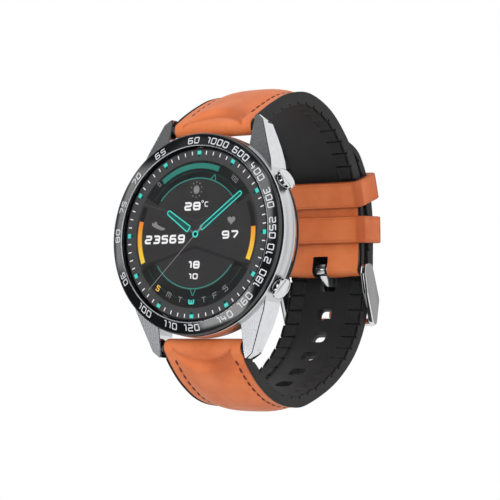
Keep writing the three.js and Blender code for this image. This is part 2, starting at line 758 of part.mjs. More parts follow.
function upperLeather() {
  const depth = STRAP.upperThickness;
  const face = layer(upperCurve, UPPER_SIGN, 0, FACE_END_SHARE, 0, STRAP.upperLeather, 26);
  const turnBack = layer(upperCurve, UPPER_SIGN, TURN_BACK_SHARE, FACE_END_SHARE, 0, depth, 8);
  const end = rod(END_ROLL_RADIUS, -STRAP.width / 2, STRAP.width / 2, BUCKLE.barY, BUCKLE.barZ,
    ROUND_SEGMENTS);
  const barHole = rod(BUCKLE.barRadius + 0.35, -12, 12, BUCKLE.barY, BUCKLE.barZ);
  const below = box([-12, 12], [40, 50], [-9, BUCKLE.barZ]);
  const tangSlot = box([-TANG_SLOT.halfX, TANG_SLOT.halfX], TANG_SLOT.y,
    [BUCKLE.barZ - TANG_SLOT.below, BUCKLE.barZ + TANG_SLOT.above]);
  const body = join(cut(join(face, turnBack), below), end, knuckle(BAR.z));
  return cut(body, barHole, tangSlot, ...barPassage(BAR.z));
}

function upperLiner() {
  const from = STRAP.upperLeather + SEAT_GAP;
  const body = layer(upperCurve, UPPER_SIGN, UPPER_LINER_START_SHARE, TURN_BACK_SHARE - 0.004, from,
    STRAP.upperThickness, 22);
  return cut(body, ...barPassage(BAR.z), knuckleClearance(BAR.z));
}

function knuckleClearance(z) {
  return rod(STRAP.knuckleRadius + SEAT_GAP, -12, 12, BAR.y, z, ROUND_SEGMENTS);
}

function lowerHoles() {
  const tangShare = shareAtHeight(lowerCurve, TANG_HOLE.z, 0.5, 0.9);
  const length = lowerCurve.getLength();
  const holes = [strapHole(lowerCurve, tangShare, TANG_HOLE)];
  for (let i = 1; i <= PLAIN_HOLE.count; i += 1) {
    const distance = PLAIN_HOLE.first + (i - 1) * PLAIN_HOLE.pitch;
    const share = tangShare - distance / length;
    holes.push(strapHole(lowerCurve, share, PLAIN_HOLE));
  }
  return holes;
}

function lowerLeather() {
  const face = layer(lowerCurve, LOWER_SIGN, 0, 1, 0, STRAP.lowerLeather, 36);
  const body = join(face, knuckle(-BAR.z));
  return cut(body, ...barPassage(-BAR.z), ...lowerHoles());
}

function lowerLiner() {
  const from = STRAP.lowerLeather + SEAT_GAP;
  const body = layer(lowerCurve, LOWER_SIGN, LOWER_LINER_START_SHARE, 1, from, STRAP.lowerThickness, 35);
  return cut(body, ...barPassage(-BAR.z), knuckleClearance(-BAR.z), ...lowerHoles());
}

// A flat loop round both strap layers, turned to lie square to the upper curve.
function keeper(share, width) {
  const halfX = STRAP.width / 2 + KEEPER.sideGap;
  const innerDepth = STRAP.upperThickness + KEEPER.depthGap;
  const outerDepth = STRAP.layerGap + STRAP.lowerThickness + KEEPER.depthGap;
  const loop = roundedRectangle(halfX + KEEPER.wall, -innerDepth - KEEPER.wall,
    outerDepth + KEEPER.wall, KEEPER_CORNER.outer);
  loop.holes.push(roundedRectangle(halfX, -innerDepth, outerDepth, KEEPER_CORNER.inner));
  const geometry = new THREE.ExtrudeGeometry(loop, {
    depth: width,
    bevelEnabled: false,
    curveSegments: 4,
  });
  geometry.translate(0, 0, -width / 2);
  const centre = upperCurve.getPointAt(share);
  const tangent = upperCurve.getTangentAt(share);
  const along = new THREE.Vector3(0, -tangent.x, -tangent.y);
  const out = along.clone().cross(AXIS_X);
  geometry.applyMatrix4(new THREE.Matrix4().makeBasis(AXIS_X, out, along));
  geometry.translate(0, centre.x, centre.y);
  return toSolid(geometry);
}

function roundedRectangle(halfX, low, high, corner) {
  const outline = new THREE.Shape();
  outline.absarc(halfX - corner, high - corner, corner, 0, HALF_TURN / 2);
  outline.absarc(-halfX + corner, high - corner, corner, HALF_TURN / 2, HALF_TURN);
  outline.absarc(-halfX + corner, low + corner, corner, HALF_TURN, 1.5 * HALF_TURN);
  outline.absarc(halfX - corner, low + corner, corner, 1.5 * HALF_TURN, 2 * HALF_TURN);
  return outline;
}

function buildStrap() {
  piece('upper_strap_leather', upperLeather(), LEATHER);
  piece('upper_strap_liner', upperLiner(), SILICONE);
  piece('lower_strap_leather', lowerLeather(), LEATHER);
  piece('lower_strap_liner', lowerLiner(), SILICONE);
  piece('fixed_keeper', keeper(FIXED_KEEPER_SHARE, FIXED_KEEPER_WIDTH), LEATHER);
  piece('free_keeper', keeper(FREE_KEEPER_SHARE, FREE_KEEPER_WIDTH), LEATHER);
}

// ---------------------------------------------------------------- buckle

function buckleArm(xFrom, xTo) {
  const profile = polygon([
    [BUCKLE.barY - 1.6, BUCKLE.barZ + 1.2],
    [BUCKLE.barY - 1.8, BUCKLE.barZ - 1.2],
    [BUCKLE.barY - 0.2, BUCKLE.barZ - 6.0],
    [BUCKLE.crossY - 1.6, BUCKLE.crossZ - 0.4],
    [BUCKLE.crossY, BUCKLE.crossZ - 1.1],
    [BUCKLE.crossY + 1.1, BUCKLE.crossZ],
    [BUCKLE.crossY + 0.9, BUCKLE.barZ - 7.0],
    [BUCKLE.barY + 2.6, BUCKLE.barZ - 1.0],
    [BUCKLE.barY + 1.2, BUCKLE.barZ + 1.5],
  ]);
  return acrossWidth(profile, xFrom, xTo);
}

function buckleFrame() {
  const cross = rod(BUCKLE.crossRadius, -BUCKLE.armOuterX, BUCKLE.armOuterX, BUCKLE.crossY,
    BUCKLE.crossZ);
  const arms = join(
    buckleArm(-BUCKLE.armOuterX, -BUCKLE.armInnerX),
    buckleArm(BUCKLE.armInnerX, BUCKLE.armOuterX),
  );
  const barHole = rod(BUCKLE.barRadius + FIT_GAP, -15, 15, BUCKLE.barY, BUCKLE.barZ);
  return cut(join(cross, arms), barHole);
}

function buckleTang() {
  const halfWidth = BUCKLE.tangWidth / 2;
  const eye = rod(TANG_EYE_RADIUS, -halfWidth, halfWidth, BUCKLE.barY, BUCKLE.barZ, ROUND_SEGMENTS);
  const blade = acrossWidth(polygon([
    [BUCKLE.barY + 0.4, BUCKLE.barZ - 1.5],
    [BUCKLE.barY + 1.4, BUCKLE.barZ - 0.2],
    [BUCKLE.barY + 4.7, BUCKLE.barZ - 4.6],
    [BUCKLE.crossY + 2.3, BUCKLE.crossZ + 4.4],
    [BUCKLE.crossY + 2.4, BUCKLE.crossZ - 1.3],
    [BUCKLE.crossY + 1.4, BUCKLE.crossZ - 1.4],
    [BUCKLE.crossY + 1.4, BUCKLE.crossZ + 3.9],
    [BUCKLE.barY + 3.9, BUCKLE.barZ - 5.4],
  ]), -halfWidth, halfWidth);
  const barHole = rod(BUCKLE.barRadius + FIT_GAP, -15, 15, BUCKLE.barY, BUCKLE.barZ);
  return cut(join(eye, blade), barHole);
}

function buildBuckle() {
  piece('buckle_frame', buckleFrame(), STEEL);
  piece('buckle_tang', buckleTang(), STEEL);
  piece('buckle_bar',
    rod(BUCKLE.barRadius, -BUCKLE.armOuterX, BUCKLE.armOuterX, BUCKLE.barY, BUCKLE.barZ), STEEL);
}

// ---------------------------------------------------------------- the whole watch

buildCase();
buildMotor();
buildRear();
buildButton('upper', BUTTON.angle);
buildButton('lower', -BUTTON.angle);
buildSpringBar('upper', BAR.z);
buildSpringBar('lower', -BAR.z);
buildStrap();
buildBuckle();

export default watch;
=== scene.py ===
import bisect
import math

import bmesh
import bpy
from mathutils import Matrix, Vector


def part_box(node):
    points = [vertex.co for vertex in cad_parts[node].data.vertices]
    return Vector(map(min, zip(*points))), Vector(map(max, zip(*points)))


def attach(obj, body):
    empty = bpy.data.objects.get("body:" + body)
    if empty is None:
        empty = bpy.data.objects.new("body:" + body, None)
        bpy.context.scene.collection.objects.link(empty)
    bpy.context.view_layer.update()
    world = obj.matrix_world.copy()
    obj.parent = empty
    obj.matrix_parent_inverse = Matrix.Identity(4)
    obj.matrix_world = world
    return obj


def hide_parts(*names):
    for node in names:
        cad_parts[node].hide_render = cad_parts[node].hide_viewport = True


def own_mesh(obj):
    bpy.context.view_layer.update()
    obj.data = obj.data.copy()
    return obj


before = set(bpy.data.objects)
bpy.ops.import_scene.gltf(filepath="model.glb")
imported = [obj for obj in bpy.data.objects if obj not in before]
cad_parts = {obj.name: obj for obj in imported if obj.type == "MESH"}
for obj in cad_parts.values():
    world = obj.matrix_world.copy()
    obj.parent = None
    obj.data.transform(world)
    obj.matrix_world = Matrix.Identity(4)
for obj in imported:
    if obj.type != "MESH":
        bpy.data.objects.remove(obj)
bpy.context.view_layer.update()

# The looks of a round smartwatch, built round its CAD frame. Shapes are written in
# millimetres and become metres in mesh_object(). +X is 3 o'clock, +Z is 12 o'clock and +Y
# points to the wrist, so the dial faces -Y. A part is a pair of points and faces.

MM = 0.001
FULL_TURN = 2 * math.pi


def node_box(node):
    """Lowest and highest corner of a CAD node, in millimetres."""
    low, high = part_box(node)
    return low / MM, high / MM


# ---------------------------------------------------------------- sizes from the frame

BEZEL_LOW, BEZEL_HIGH = node_box("bezel_ring")
BEZEL_RADIUS = BEZEL_HIGH.x
BEZEL_TOP = BEZEL_LOW.y
GLASS_LOW, GLASS_HIGH = node_box("cover_glass")
GLASS_RADIUS = GLASS_HIGH.x
COVER_LOW, COVER_HIGH = node_box("rear_cover")
COVER_RADIUS = COVER_HIGH.x
WINDOW_LOW, WINDOW_HIGH = node_box("sensor_window")
STRAP_HALF_WIDTH = node_box("upper_strap_liner")[1].x
BAR_LOW, BAR_HIGH = node_box("upper_spring_bar")
BAR_Y, BAR_Z = (BAR_LOW.y + BAR_HIGH.y) / 2, (BAR_LOW.z + BAR_HIGH.z) / 2
BAR_RADIUS = (BAR_HIGH.z - BAR_LOW.z) / 2
PIN_REACH = -BAR_LOW.x
AXLE_LOW, AXLE_HIGH = node_box("buckle_bar")
BUCKLE_Y, BUCKLE_Z = (AXLE_LOW.y + AXLE_HIGH.y) / 2, (AXLE_LOW.z + AXLE_HIGH.z) / 2
AXLE_RADIUS = (AXLE_HIGH.z - AXLE_LOW.z) / 2
BUCKLE_HALF_WIDTH = AXLE_HIGH.x
TANG_LOW, TANG_HIGH = node_box("buckle_tang")
CASE_RADIUS = BEZEL_RADIUS + 0.2
BUTTON_ANGLE = 30
BUTTON_Y = -6.6

# ---------------------------------------------------------------- mesh helpers


def smooth(value):
    value = min(max(value, 0), 1)
    return value * value * (3 - 2 * value)


def bell(value, width):
    return math.exp(-(value / width) ** 2)


def unit_circle(count, first=0.0, last=FULL_TURN, ends=False):
    """Points on a unit circle. The last angle is left out unless ends is true."""
    steps = count - 1 if ends else count
    angles = [first + (last - first) * i / steps for i in range(count)]
    return [Vector((math.cos(a), math.sin(a))) for a in angles]


def level_direction(degrees):
    """The direction at an angle above +X, in the plane of the dial."""
    return Vector((math.cos(math.radians(degrees)), 0, math.sin(math.radians(degrees))))


def mesh_object(name, part, materials):
    """An object in metres with its faces pointing out."""
    mesh = bpy.data.meshes.new(name)
    mesh.from_pydata([Vector(p) * MM for p in part[0]], [], part[1])
    mesh.validate()
    for each in materials:
        mesh.materials.append(each)
    shape = bmesh.new()
    shape.from_mesh(mesh)
    bmesh.ops.recalc_face_normals(shape, faces=shape.faces)
    shape.to_mesh(mesh)
    shape.free()
    made = bpy.data.objects.new(name, mesh)
    bpy.context.scene.collection.objects.link(made)
    return made


def new_piece(name, part, material, body, sharp=35, replaces=()):
    """A smooth-shaded piece that rides on a body and may stand for CAD nodes."""
    piece = mesh_object(name, part, material if isinstance(material, list) else [material])
    shade(piece.data, sharp)
    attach(piece, body)
    if replaces:
        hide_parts(*replaces)
    return piece


def shade(mesh, sharp):
    mesh.shade_smooth()
    mesh.set_sharp_from_angle(angle=math.radians(sharp))


def faces_between(here, there, count, closed=True):
    """Faces between two rings of points that start at two indices."""
    return [(here + k, here + (k + 1) % count, there + (k + 1) % count, there + k)
            for k in range(count if closed else count - 1)]


def loft(sections, closed=False):
    """A solid through sections with equal point counts."""
    count, last = len(sections[0]), len(sections) - 1
    points = [p for section in sections for p in section]
    faces = []
    for i in range(last):
        faces += faces_between(i * count, (i + 1) * count, count)
    if closed:
        faces += faces_between(last * count, 0, count)
    else:
        faces += [tuple(range(count)), tuple(last * count + k for k in range(count))]
    return points, faces


def merged(*parts):
    points, faces = [], []
    for part_points, part_faces in parts:
        start = len(points)
        points.extend(part_points)
        faces.extend(tuple(i + start for i in face) for face in part_faces)
    return points, faces


def moved(part, place):
    return [place(Vector(p)) for p in part[0]], part[1]


def turned(profile, segments=96, wave=None):
    """A solid of revolution about the Y axis from (radius, y) points, given in order round
    the section. A profile that starts on the axis also ends on it. wave(angle, i) may scale
    the radius of profile point i."""
    on_axis = profile[0][0] == 0
    ring = profile[1:-1] if on_axis else profile
    count = len(ring)
    points, faces = [], []
    for step in range(segments):
        angle = FULL_TURN * step / segments
        for i, (radius, y) in enumerate(ring):
            reach = radius * (wave(angle, i) if wave else 1)
            points.append((reach * math.cos(angle), y, reach * math.sin(angle)))
        there = (step + 1) % segments * count
        faces += faces_between(step * count, there, count, not on_axis)
    if on_axis:
        for end, k in ((profile[0], 0), (profile[-1], count - 1)):
            faces += [(len(points), step * count + k, (step + 1) % segments * count + k)
                      for step in range(segments)]
            points.append((0, end[1], 0))
    return points, faces


def rod(radius, start, end):
    """The profile of a plain rod."""
    return [(0, start), (radius, start), (radius, end), (0, end)]


def coil(radius, wire, start, end, turns):
    """A wound spring along Y."""
    steps = turns * 16
    sections = []
    for i in range(steps + 1):
        angle = FULL_TURN * turns * i / steps
        y = start + wire + (end - start - 2 * wire) * i / steps
        sections.append([
            ((radius + wire * u) * math.cos(angle), y + wire * v,
             (radius + wire * u) * math.sin(angle)) for u, v in unit_circle(6)])
    return loft(sections)


def rounded(outline, radius, steps=5, closed=True):
    """An outline of 2D points with each corner replaced by an arc."""
    result = []
    count = len(outline)
    for i in range(count):
        corner = Vector(outline[i])
        before = Vector(outline[i - 1]) - corner
        after = Vector(outline[(i + 1) % count]) - corner
        at_end = not closed and i in (0, count - 1)
        if at_end or before.angle(after) > math.pi - 0.02:
            result.append(corner)
            continue
        reach = radius / math.tan(before.angle(after) / 2)
        reach = min(reach, 0.48 * before.length, 0.48 * after.length)
        start = corner + before.normalized() * reach
        end = corner + after.normalized() * reach
        for t in (step / steps for step in range(steps + 1)):
            result.append(start * (1 - t) ** 2 + corner * 2 * t * (1 - t) + end * t ** 2)
    return result


def rectangle(half_width, low, high, radius, steps):
    return rounded([(-half_width, low), (half_width, low), (half_width, high),
                    (-half_width, high)], radius, steps)


def inset(outline, distance):
    """A closed 2D outline moved inwards by a distance."""
    area = sum(a[0] * b[1] - b[0] * a[1] for a, b in zip(outline, outline[1:] + outline[:1]))
    result = []
    for i, point in enumerate(outline):
        along = Vector(outline[(i + 1) % len(outline)]) - Vector(outline[i - 1])
        normal = Vector((-along.y, along.x)).normalized() * math.copysign(1, area)
        result.append(Vector(point) + normal * distance)
    return result


def plate(outline, low, high, bevel, place):
    """A flat plate with rounded rims: a 2D outline extruded from low to high."""
    sections = []
    for level, inward, shares in ((low, 1, (0, 0.35, 1)), (high, -1, (1, 0.35, 0))):
        for turn in (math.pi / 2 * t for t in shares):
            rim = level + inward * bevel * (1 - math.cos(turn))
            around = inset(outline, bevel * (1 - math.sin(turn)))
            sections.append([place(p, rim) for p in around])
    return loft(sections)


def side_view(point, x):
    """Places a (y, z) point at a width x."""
    return (x, point[0], point[1])


def front_view(point, y):
    """Places an (x, z) point at a depth y."""
    return (point[0], y, point[1])


def boolean(piece, part, operation="DIFFERENCE", sharp=35, finish=None):
    """Joins or cuts a piece with a part and keeps the result in its mesh."""
    tool = mesh_object("boolean_tool", part, [finish or piece.data.materials[0]])
    change = piece.modifiers.new("boolean", "BOOLEAN")
    change.operation = operation
    change.solver = "EXACT"
    change.material_mode = "TRANSFER"
    change.object = tool
    graph = bpy.context.evaluated_depsgraph_get()
    result = bpy.data.meshes.new_from_object(piece.evaluated_get(graph))
    piece.modifiers.clear()
    piece.data = result
    bpy.data.objects.remove(tool)
    shade(piece.data, sharp)


# ---------------------------------------------------------------- materials


def add_node(tree, kind, inputs, **settings):
    """A shader node whose inputs are set to values or linked to other nodes' outputs."""
    added = tree.nodes.new(kind)
    for key, value in settings.items():
        setattr(added, key, value)
    for socket, value in inputs.items():
        if isinstance(value, bpy.types.NodeSocket):
            tree.links.new(value, added.inputs[socket])
        else:
            added.inputs[socket].default_value = value
    return added


def calculate(tree, operation, *values):
    inputs = dict(enumerate(values))
    return add_node(tree, "ShaderNodeMath", inputs, operation=operation).outputs[0]


def new_tree(name):
    made = bpy.data.materials.new(name)
    made.use_nodes = True
    made.node_tree.nodes.clear()
    return made, made.node_tree


def finish_with(made, inputs):
    """Ends a material in one shader."""
    tree = made.node_tree
    shader = add_node(tree, "ShaderNodeBsdfPrincipled", inputs)
    add_node(tree, "ShaderNodeOutputMaterial", {"Surface": shader.outputs["BSDF"]})
    return made


def colour(red, green, blue):
    """A colour from sRGB bytes, as the linear value that a shader takes."""
    linear = [((c / 255 + 0.055) / 1.055) ** 2.4 if c > 10 else c / 255 / 12.92
              for c in (red, green, blue)]
    return (*linear, 1.0)


def darker(tint, share):
    return (*[c * share for c in tint[:3]], 1.0)


def object_place(tree):
    return add_node(tree, "ShaderNodeTexCoord", {}).outputs["Object"]


def noise(tree, scale, detail=4.0, stretch=(1, 1, 1), rough=0.5):
    """Noise in object space, as many features per metre as scale says."""
    spread = add_node(tree, "ShaderNodeMapping",
                      {"Vector": object_place(tree), "Scale": stretch})
    return add_node(tree, "ShaderNodeTexNoise", {
        "Vector": spread.outputs["Vector"], "Scale": scale, "Detail": detail,
        "Roughness": rough}).outputs["Fac"]


def between(tree, source, low, high):
    """A value from 0 to 1 spread between two numbers."""
    return add_node(tree, "ShaderNodeMapRange", {
        "Value": source, "To Min": low, "To Max": high}).outputs["Result"]


def ramp(tree, source, *stops):
    """A colour ramp through (position, colour) stops."""
    band = add_node(tree, "ShaderNodeValToRGB", {"Fac": source})
    elements = band.color_ramp.elements
    while len(elements) < len(stops):
        elements.new(0.5)
    for element, (position, tint) in zip(elements, stops):
        element.position = position
        element.color = tint
    return band.outputs["Color"]


def bump(tree, source, height, strength=0.5):
    return add_node(tree, "ShaderNodeBump", {
        "Height": source, "Strength": strength, "Distance": height * MM}).outputs["Normal"]


def grained(name, stops, rough, scale, detail, height, stretch=(1, 1, 1), **constants):
    """A material whose tone, roughness and fine relief follow one noise."""
    made, tree = new_tree(name)
    grain = noise(tree, scale, detail, stretch)
    return finish_with(made, {
        "Base Color": ramp(tree, grain, *stops), "Roughness": between(tree, grain, *rough),
        "Normal": bump(tree, grain, height), **constants})


def metal(name, tint, rough, stretch, scale, height):
    """Steel with a fine grain that runs along the short side of stretch."""
    stops = ((0.3, darker(tint, 0.93)), (0.7, tint))
    return grained(name, stops, rough, scale, 3.0, height, stretch, Metallic=1.0)


def plastic(name, tint, rough, scale=900, height=0.01):
    stops = ((0.35, darker(tint, 0.8)), (0.65, tint))
    return grained(name, stops, (rough - 0.06, rough + 0.06), scale, 5.0, height)


def ceramic():
    made, tree = new_tree("gloss_ceramic")
    haze = noise(tree, 90, 3.0)
    return finish_with(made, {
        "Base Color": ramp(tree, haze, (0.3, colour(14, 15, 17)), (0.7, colour(20, 21, 23))),
        "Roughness": between(tree, haze, 0.06, 0.10), "IOR": 1.75,
        "Normal": bump(tree, noise(tree, 2500, 2.0), 0.0006)})


def clear_glass():
    made, tree = new_tree("cover_glass_clear")
    return finish_with(made, {
        "Base Color": (1, 1, 1, 1), "Transmission Weight": 1.0, "IOR": 1.45,
        "Roughness": between(tree, noise(tree, 60, 2.0), 0.0, 0.015)})


def tinted_glass():
    made, tree = new_tree("sensor_glass_tinted")
    haze = noise(tree, 120, 2.0)
    return finish_with(made, {
        "Base Color": ramp(tree, haze, (0.3, colour(70, 74, 78)), (0.7, colour(82, 86, 90))),
        "Transmission Weight": 0.85, "IOR": 1.5, "Roughness": between(tree, haze, 0.03, 0.07)})


SCREEN_BASE = (0.004, 0.004, 0.004, 1)


def lit(name, *tint):
    """A part of the screen that shines with its own colour, with a fine pixel ripple."""
    made, tree = new_tree(f"screen_{name}")
    tint = colour(*tint)
    cells = noise(tree, 3500, 1.0)
    glow = ramp(tree, cells, (0.35, darker(tint, 0.96)), (0.65, tint))
    return finish_with(made, {"Base Color": SCREEN_BASE, "Roughness": 0.6,
                              "Emission Color": glow, "Emission Strength": 1.0})


def lit_between(name, start, end, low, high):
    """A screen colour that runs from one tint to another along Z, in millimetres."""
    made, tree = new_tree(f"screen_{name}")
    split = add_node(tree, "ShaderNodeSeparateXYZ", {"Vector": object_place(tree)})
    spread = add_node(tree, "ShaderNodeMapRange", {
        "Value": split.outputs["Z"], "From Min": low * MM, "From Max": high * MM})
    glow = ramp(tree, spread.outputs["Result"], (0.0, start), (1.0, end))
    return finish_with(made, {"Base Color": SCREEN_BASE, "Emission Color": glow,
                              "Emission Strength": 1.0})


def leather():
    """Orange-tan leather: cloudy tone, pebbled grain, and a darker brown mixed in from a
    per-point attribute: painted shade in creases, stitch grooves, on the pad slope and at the
    keepers' bends, plus darker rims.
    """
    made, tree = new_tree("tan_leather")
    tones = ramp(tree, noise(tree, 130, 4.0, rough=0.6), (0.25, colour(195, 98, 52)),
                 (0.5, colour(206, 112, 64)), (0.8, colour(214, 124, 78)))
    # Per-point painted shade (creases, grooves, pad slope, keeper bends) and darker rims, mixed
    # towards dark brown.
    burn = add_node(tree, "ShaderNodeAttribute", {}, attribute_name="burn")
    mix = add_node(tree, "ShaderNodeMix", {
        "Factor": burn.outputs["Fac"], "A": tones, "B": colour(132, 46, 10)}, data_type="RGBA")
    pores = add_node(tree, "ShaderNodeTexVoronoi",
                     {"Vector": object_place(tree), "Scale": 1900}, feature="DISTANCE_TO_EDGE")
    wrinkle = noise(tree, 900, 6.0, rough=0.65)
    relief = calculate(tree, "ADD", pores.outputs["Distance"], wrinkle)
    return finish_with(made, {
        "Base Color": mix.outputs["Result"], "Roughness": between(tree, wrinkle, 0.42, 0.60),
        "Normal": bump(tree, relief, 0.03, 0.35), "Specular IOR Level": 0.3})


def silicone():
    """Matt black silicone with a soft sheen and a very fine moulded grain."""
    made, tree = new_tree("black_silicone")
    cloud, grain = noise(tree, 200, 3.0), noise(tree, 2600, 4.0)
    return finish_with(made, {
        "Base Color": ramp(tree, cloud, (0.3, colour(26, 26, 27)), (0.7, colour(33, 33, 34))),
        "Roughness": between(tree, grain, 0.52, 0.66), "Normal": bump(tree, grain, 0.012, 0.4),
        "Specular IOR Level": 0.4})


def circuit_green():
    made, tree = new_tree("circuit_green")
    tracks = add_node(tree, "ShaderNodeTexBrick", {
        "Vector": object_place(tree), "Scale": 260, "Mortar Size": 0.04,
        "Color1": colour(20, 86, 60), "Color2": colour(26, 98, 70),
        "Mortar": colour(60, 132, 100)})
    return finish_with(made, {
        "Base Color": tracks.outputs["Color"],
        "Roughness": between(tree, noise(tree, 400), 0.35, 0.5),
        "Normal": bump(tree, tracks.outputs["Fac"], 0.01)})


EVEN = (1, 1, 1)
POLISHED = metal("polished_steel", colour(232, 233, 235), (0.07, 0.13), EVEN, 700, 0.002)
BRUSHED = metal("brushed_steel", colour(222, 223, 225), (0.26, 0.36), (1, 60, 1), 160, 0.010)
FACET = metal("facet_steel", colour(206, 208, 211), (0.24, 0.30), (60, 1, 1), 160, 0.003)
SATIN = metal("satin_steel", colour(170, 170, 171), (0.28, 0.38), (60, 1, 1), 160, 0.004)
MACHINED = metal("machined_steel", colour(196, 198, 202), (0.20, 0.32), (30, 1, 1), 300, 0.006)
# Darker steel for the lugs' chamfers: a painted dark reflection.
PAINTED_REFLECTION_EDGE = metal("painted_dark_reflection_steel", colour(92, 94, 98), (0.2, 0.3), EVEN, 400, 0.002)
TINPLATE = metal("tinplate", colour(190, 192, 195), (0.25, 0.4), (1, 1, 20), 200, 0.01)
FOIL = metal("battery_foil", colour(170, 175, 180), (0.3, 0.5), EVEN, 300, 0.02)
GOLD = metal("gold_contact", colour(226, 188, 104), (0.12, 0.22), EVEN, 600, 0.002)
# Near-black matt plastic for the glass rim and the buttons' flute floors: painted shade.
PAINTED_GROOVE_SHADE = plastic("painted_groove_shade", colour(16, 16, 17), 0.35)
EDGE_PAINT = plastic("edge_paint", colour(24, 23, 23), 0.45)
THREAD = plastic("dark_thread", colour(92, 24, 8), 0.75, 6000, 0.02)
BLACK_PLASTIC = plastic("black_plastic", colour(26, 26, 28), 0.42, 1500, 0.006)
RUBBER = plastic("seal_rubber", colour(30, 30, 31), 0.7)
COPPER = plastic("copper_film", colour(186, 120, 52), 0.4, 300, 0.004)
LENS = plastic("led_lens", colour(116, 214, 140), 0.2, 500, 0.002)
SILVER = colour(196, 199, 202)
NUMERAL = grained("silver_print", ((0.3, darker(SILVER, 0.85)), (0.6, SILVER)), (0.42, 0.58),
                  1800, 2.0, 0.002)
CERAMIC, GLASS, SENSOR_GLASS = ceramic(), clear_glass(), tinted_glass()
LEATHER, SILICONE, CIRCUIT = leather(), silicone(), circuit_green()

# ---------------------------------------------------------------- case

CASE_BAND_FRONT = -8.7
CASE_BAND_REAR = -5.0
CASE_FRONT = BEZEL_HIGH.y + 0.3
CASE_REAR = COVER_LOW.y - 0.3
CASE_BORE = 18.4
GASKET_RADIUS = 19.4
BAND_CROWN = 0.22
BUTTON_WELL_RADIUS = 2.05
LUG_INNER_X = STRAP_HALF_WIDTH + 0.3
# Front and rear depth of a lug at stations along Z: (z, front y, rear y, outer x).
LUG_STATIONS = [
    (13.0, -8.7, -2.2, 18.6), (15.0, -8.4, -2.0, 18.15), (17.0, -8.0, -1.8, 17.6),
    (20.0, -7.4, -1.5, 16.35), (22.5, -6.8, -1.6, 15.3), (25.0, -6.2, -1.9, 14.25),
    (26.3, -5.9, -2.1, 13.7),
]
LUG_TIP = (27.5, -5.65, -2.25, 12.2)
LUG_EDGE = 0.15


def case_ring():
    """The case wall, with a slightly crowned band between its two chamfers."""
    front, rear = CASE_BAND_FRONT + 0.1, CASE_BAND_REAR - 0.15
    band = [(CASE_RADIUS - BAND_CROWN * (2 * t - 1) ** 2, front + (rear - front) * t)
            for t in (i / 8 for i in range(9))]
    return turned([
        (CASE_BORE, CASE_FRONT), (CASE_RADIUS - 0.55, CASE_FRONT),
        (CASE_RADIUS - 0.18, CASE_FRONT + 0.25), *band,
        (CASE_RADIUS - 0.12, CASE_BAND_REAR + 0.15), (COVER_RADIUS + 0.1, CASE_REAR - 0.2),
        (COVER_RADIUS - 0.2, CASE_REAR), (CASE_BORE, CASE_REAR)], 160)


def lug(sign_x, sign_z):
    sections = []
    for station in LUG_STATIONS + [LUG_TIP]:
        z, front, rear, outer = station
        rim = LUG_EDGE * 2.2 if station == LUG_TIP else LUG_EDGE
        inner = LUG_INNER_X + 0.1 if station == LUG_TIP else LUG_INNER_X
        corners = [
            (inner + rim, front), (outer - rim, front + 0.02), (outer, front + rim * 1.3),
            (outer, rear - rim), (outer - rim, rear), (inner + rim, rear),
            (inner, rear - rim), (inner, front + rim),
        ]
        sections.append([(x * sign_x, y, z * sign_z) for x, y in corners])
    return loft(sections)


def paint_case(piece):
    """Brushed band round the side, brushed fronts on the lugs, darker steel with a painted dark
    reflection on the lugs' chamfers, polish everywhere else.
    """
    for face in piece.data.polygons:
        centre = face.center / MM
        radial = math.hypot(centre.x, centre.z)
        on_band = abs(radial - CASE_RADIUS) < BAND_CROWN + 0.02 and abs(face.normal.y) < 0.4
        on_lug = radial > CASE_RADIUS + 0.05
        facing_front = face.normal.y < -0.88 and on_lug
        on_edge = -0.88 < face.normal.y < -0.3 and on_lug
        face.material_index = 1 if on_band else 2 if facing_front else 3 if on_edge else 0


def build_case():
    case = new_piece("case_body", case_ring(), [POLISHED, BRUSHED, FACET, PAINTED_REFLECTION_EDGE], "case",
                     replaces=["case_middle"])
    boolean(case, merged(*[lug(x, z) for x in (1, -1) for z in (1, -1)]), "UNION")
    cover_seat = COVER_RADIUS + 0.3
    boolean(case, turned([
        (0, CASE_FRONT - 1), (CASE_BORE, CASE_FRONT - 1), (CASE_BORE, CASE_REAR - 0.7),
        (GASKET_RADIUS, CASE_REAR - 0.7), (GASKET_RADIUS, CASE_REAR + 0.01),
        (cover_seat, CASE_REAR + 0.01), (cover_seat, 1), (0, 1)]))
    well = rod(BUTTON_WELL_RADIUS, 17, 24.5)
    boolean(case, merged(*[onto_button(turned(well, 48), angle)
                           for angle in (BUTTON_ANGLE, -BUTTON_ANGLE)]), sharp=30)
    paint_case(case)


def onto_button(part, angle):
    """Turns a solid built along +Y so that it lies on a button's own line."""
    out, up = level_direction(angle), level_direction(angle + 90)

    def place(p):
        spot = out * p.y + up * p.z
        return (spot.x, BUTTON_Y + p.x, spot.z)

    return moved(part, place)


# ---------------------------------------------------------------- bezel and glass

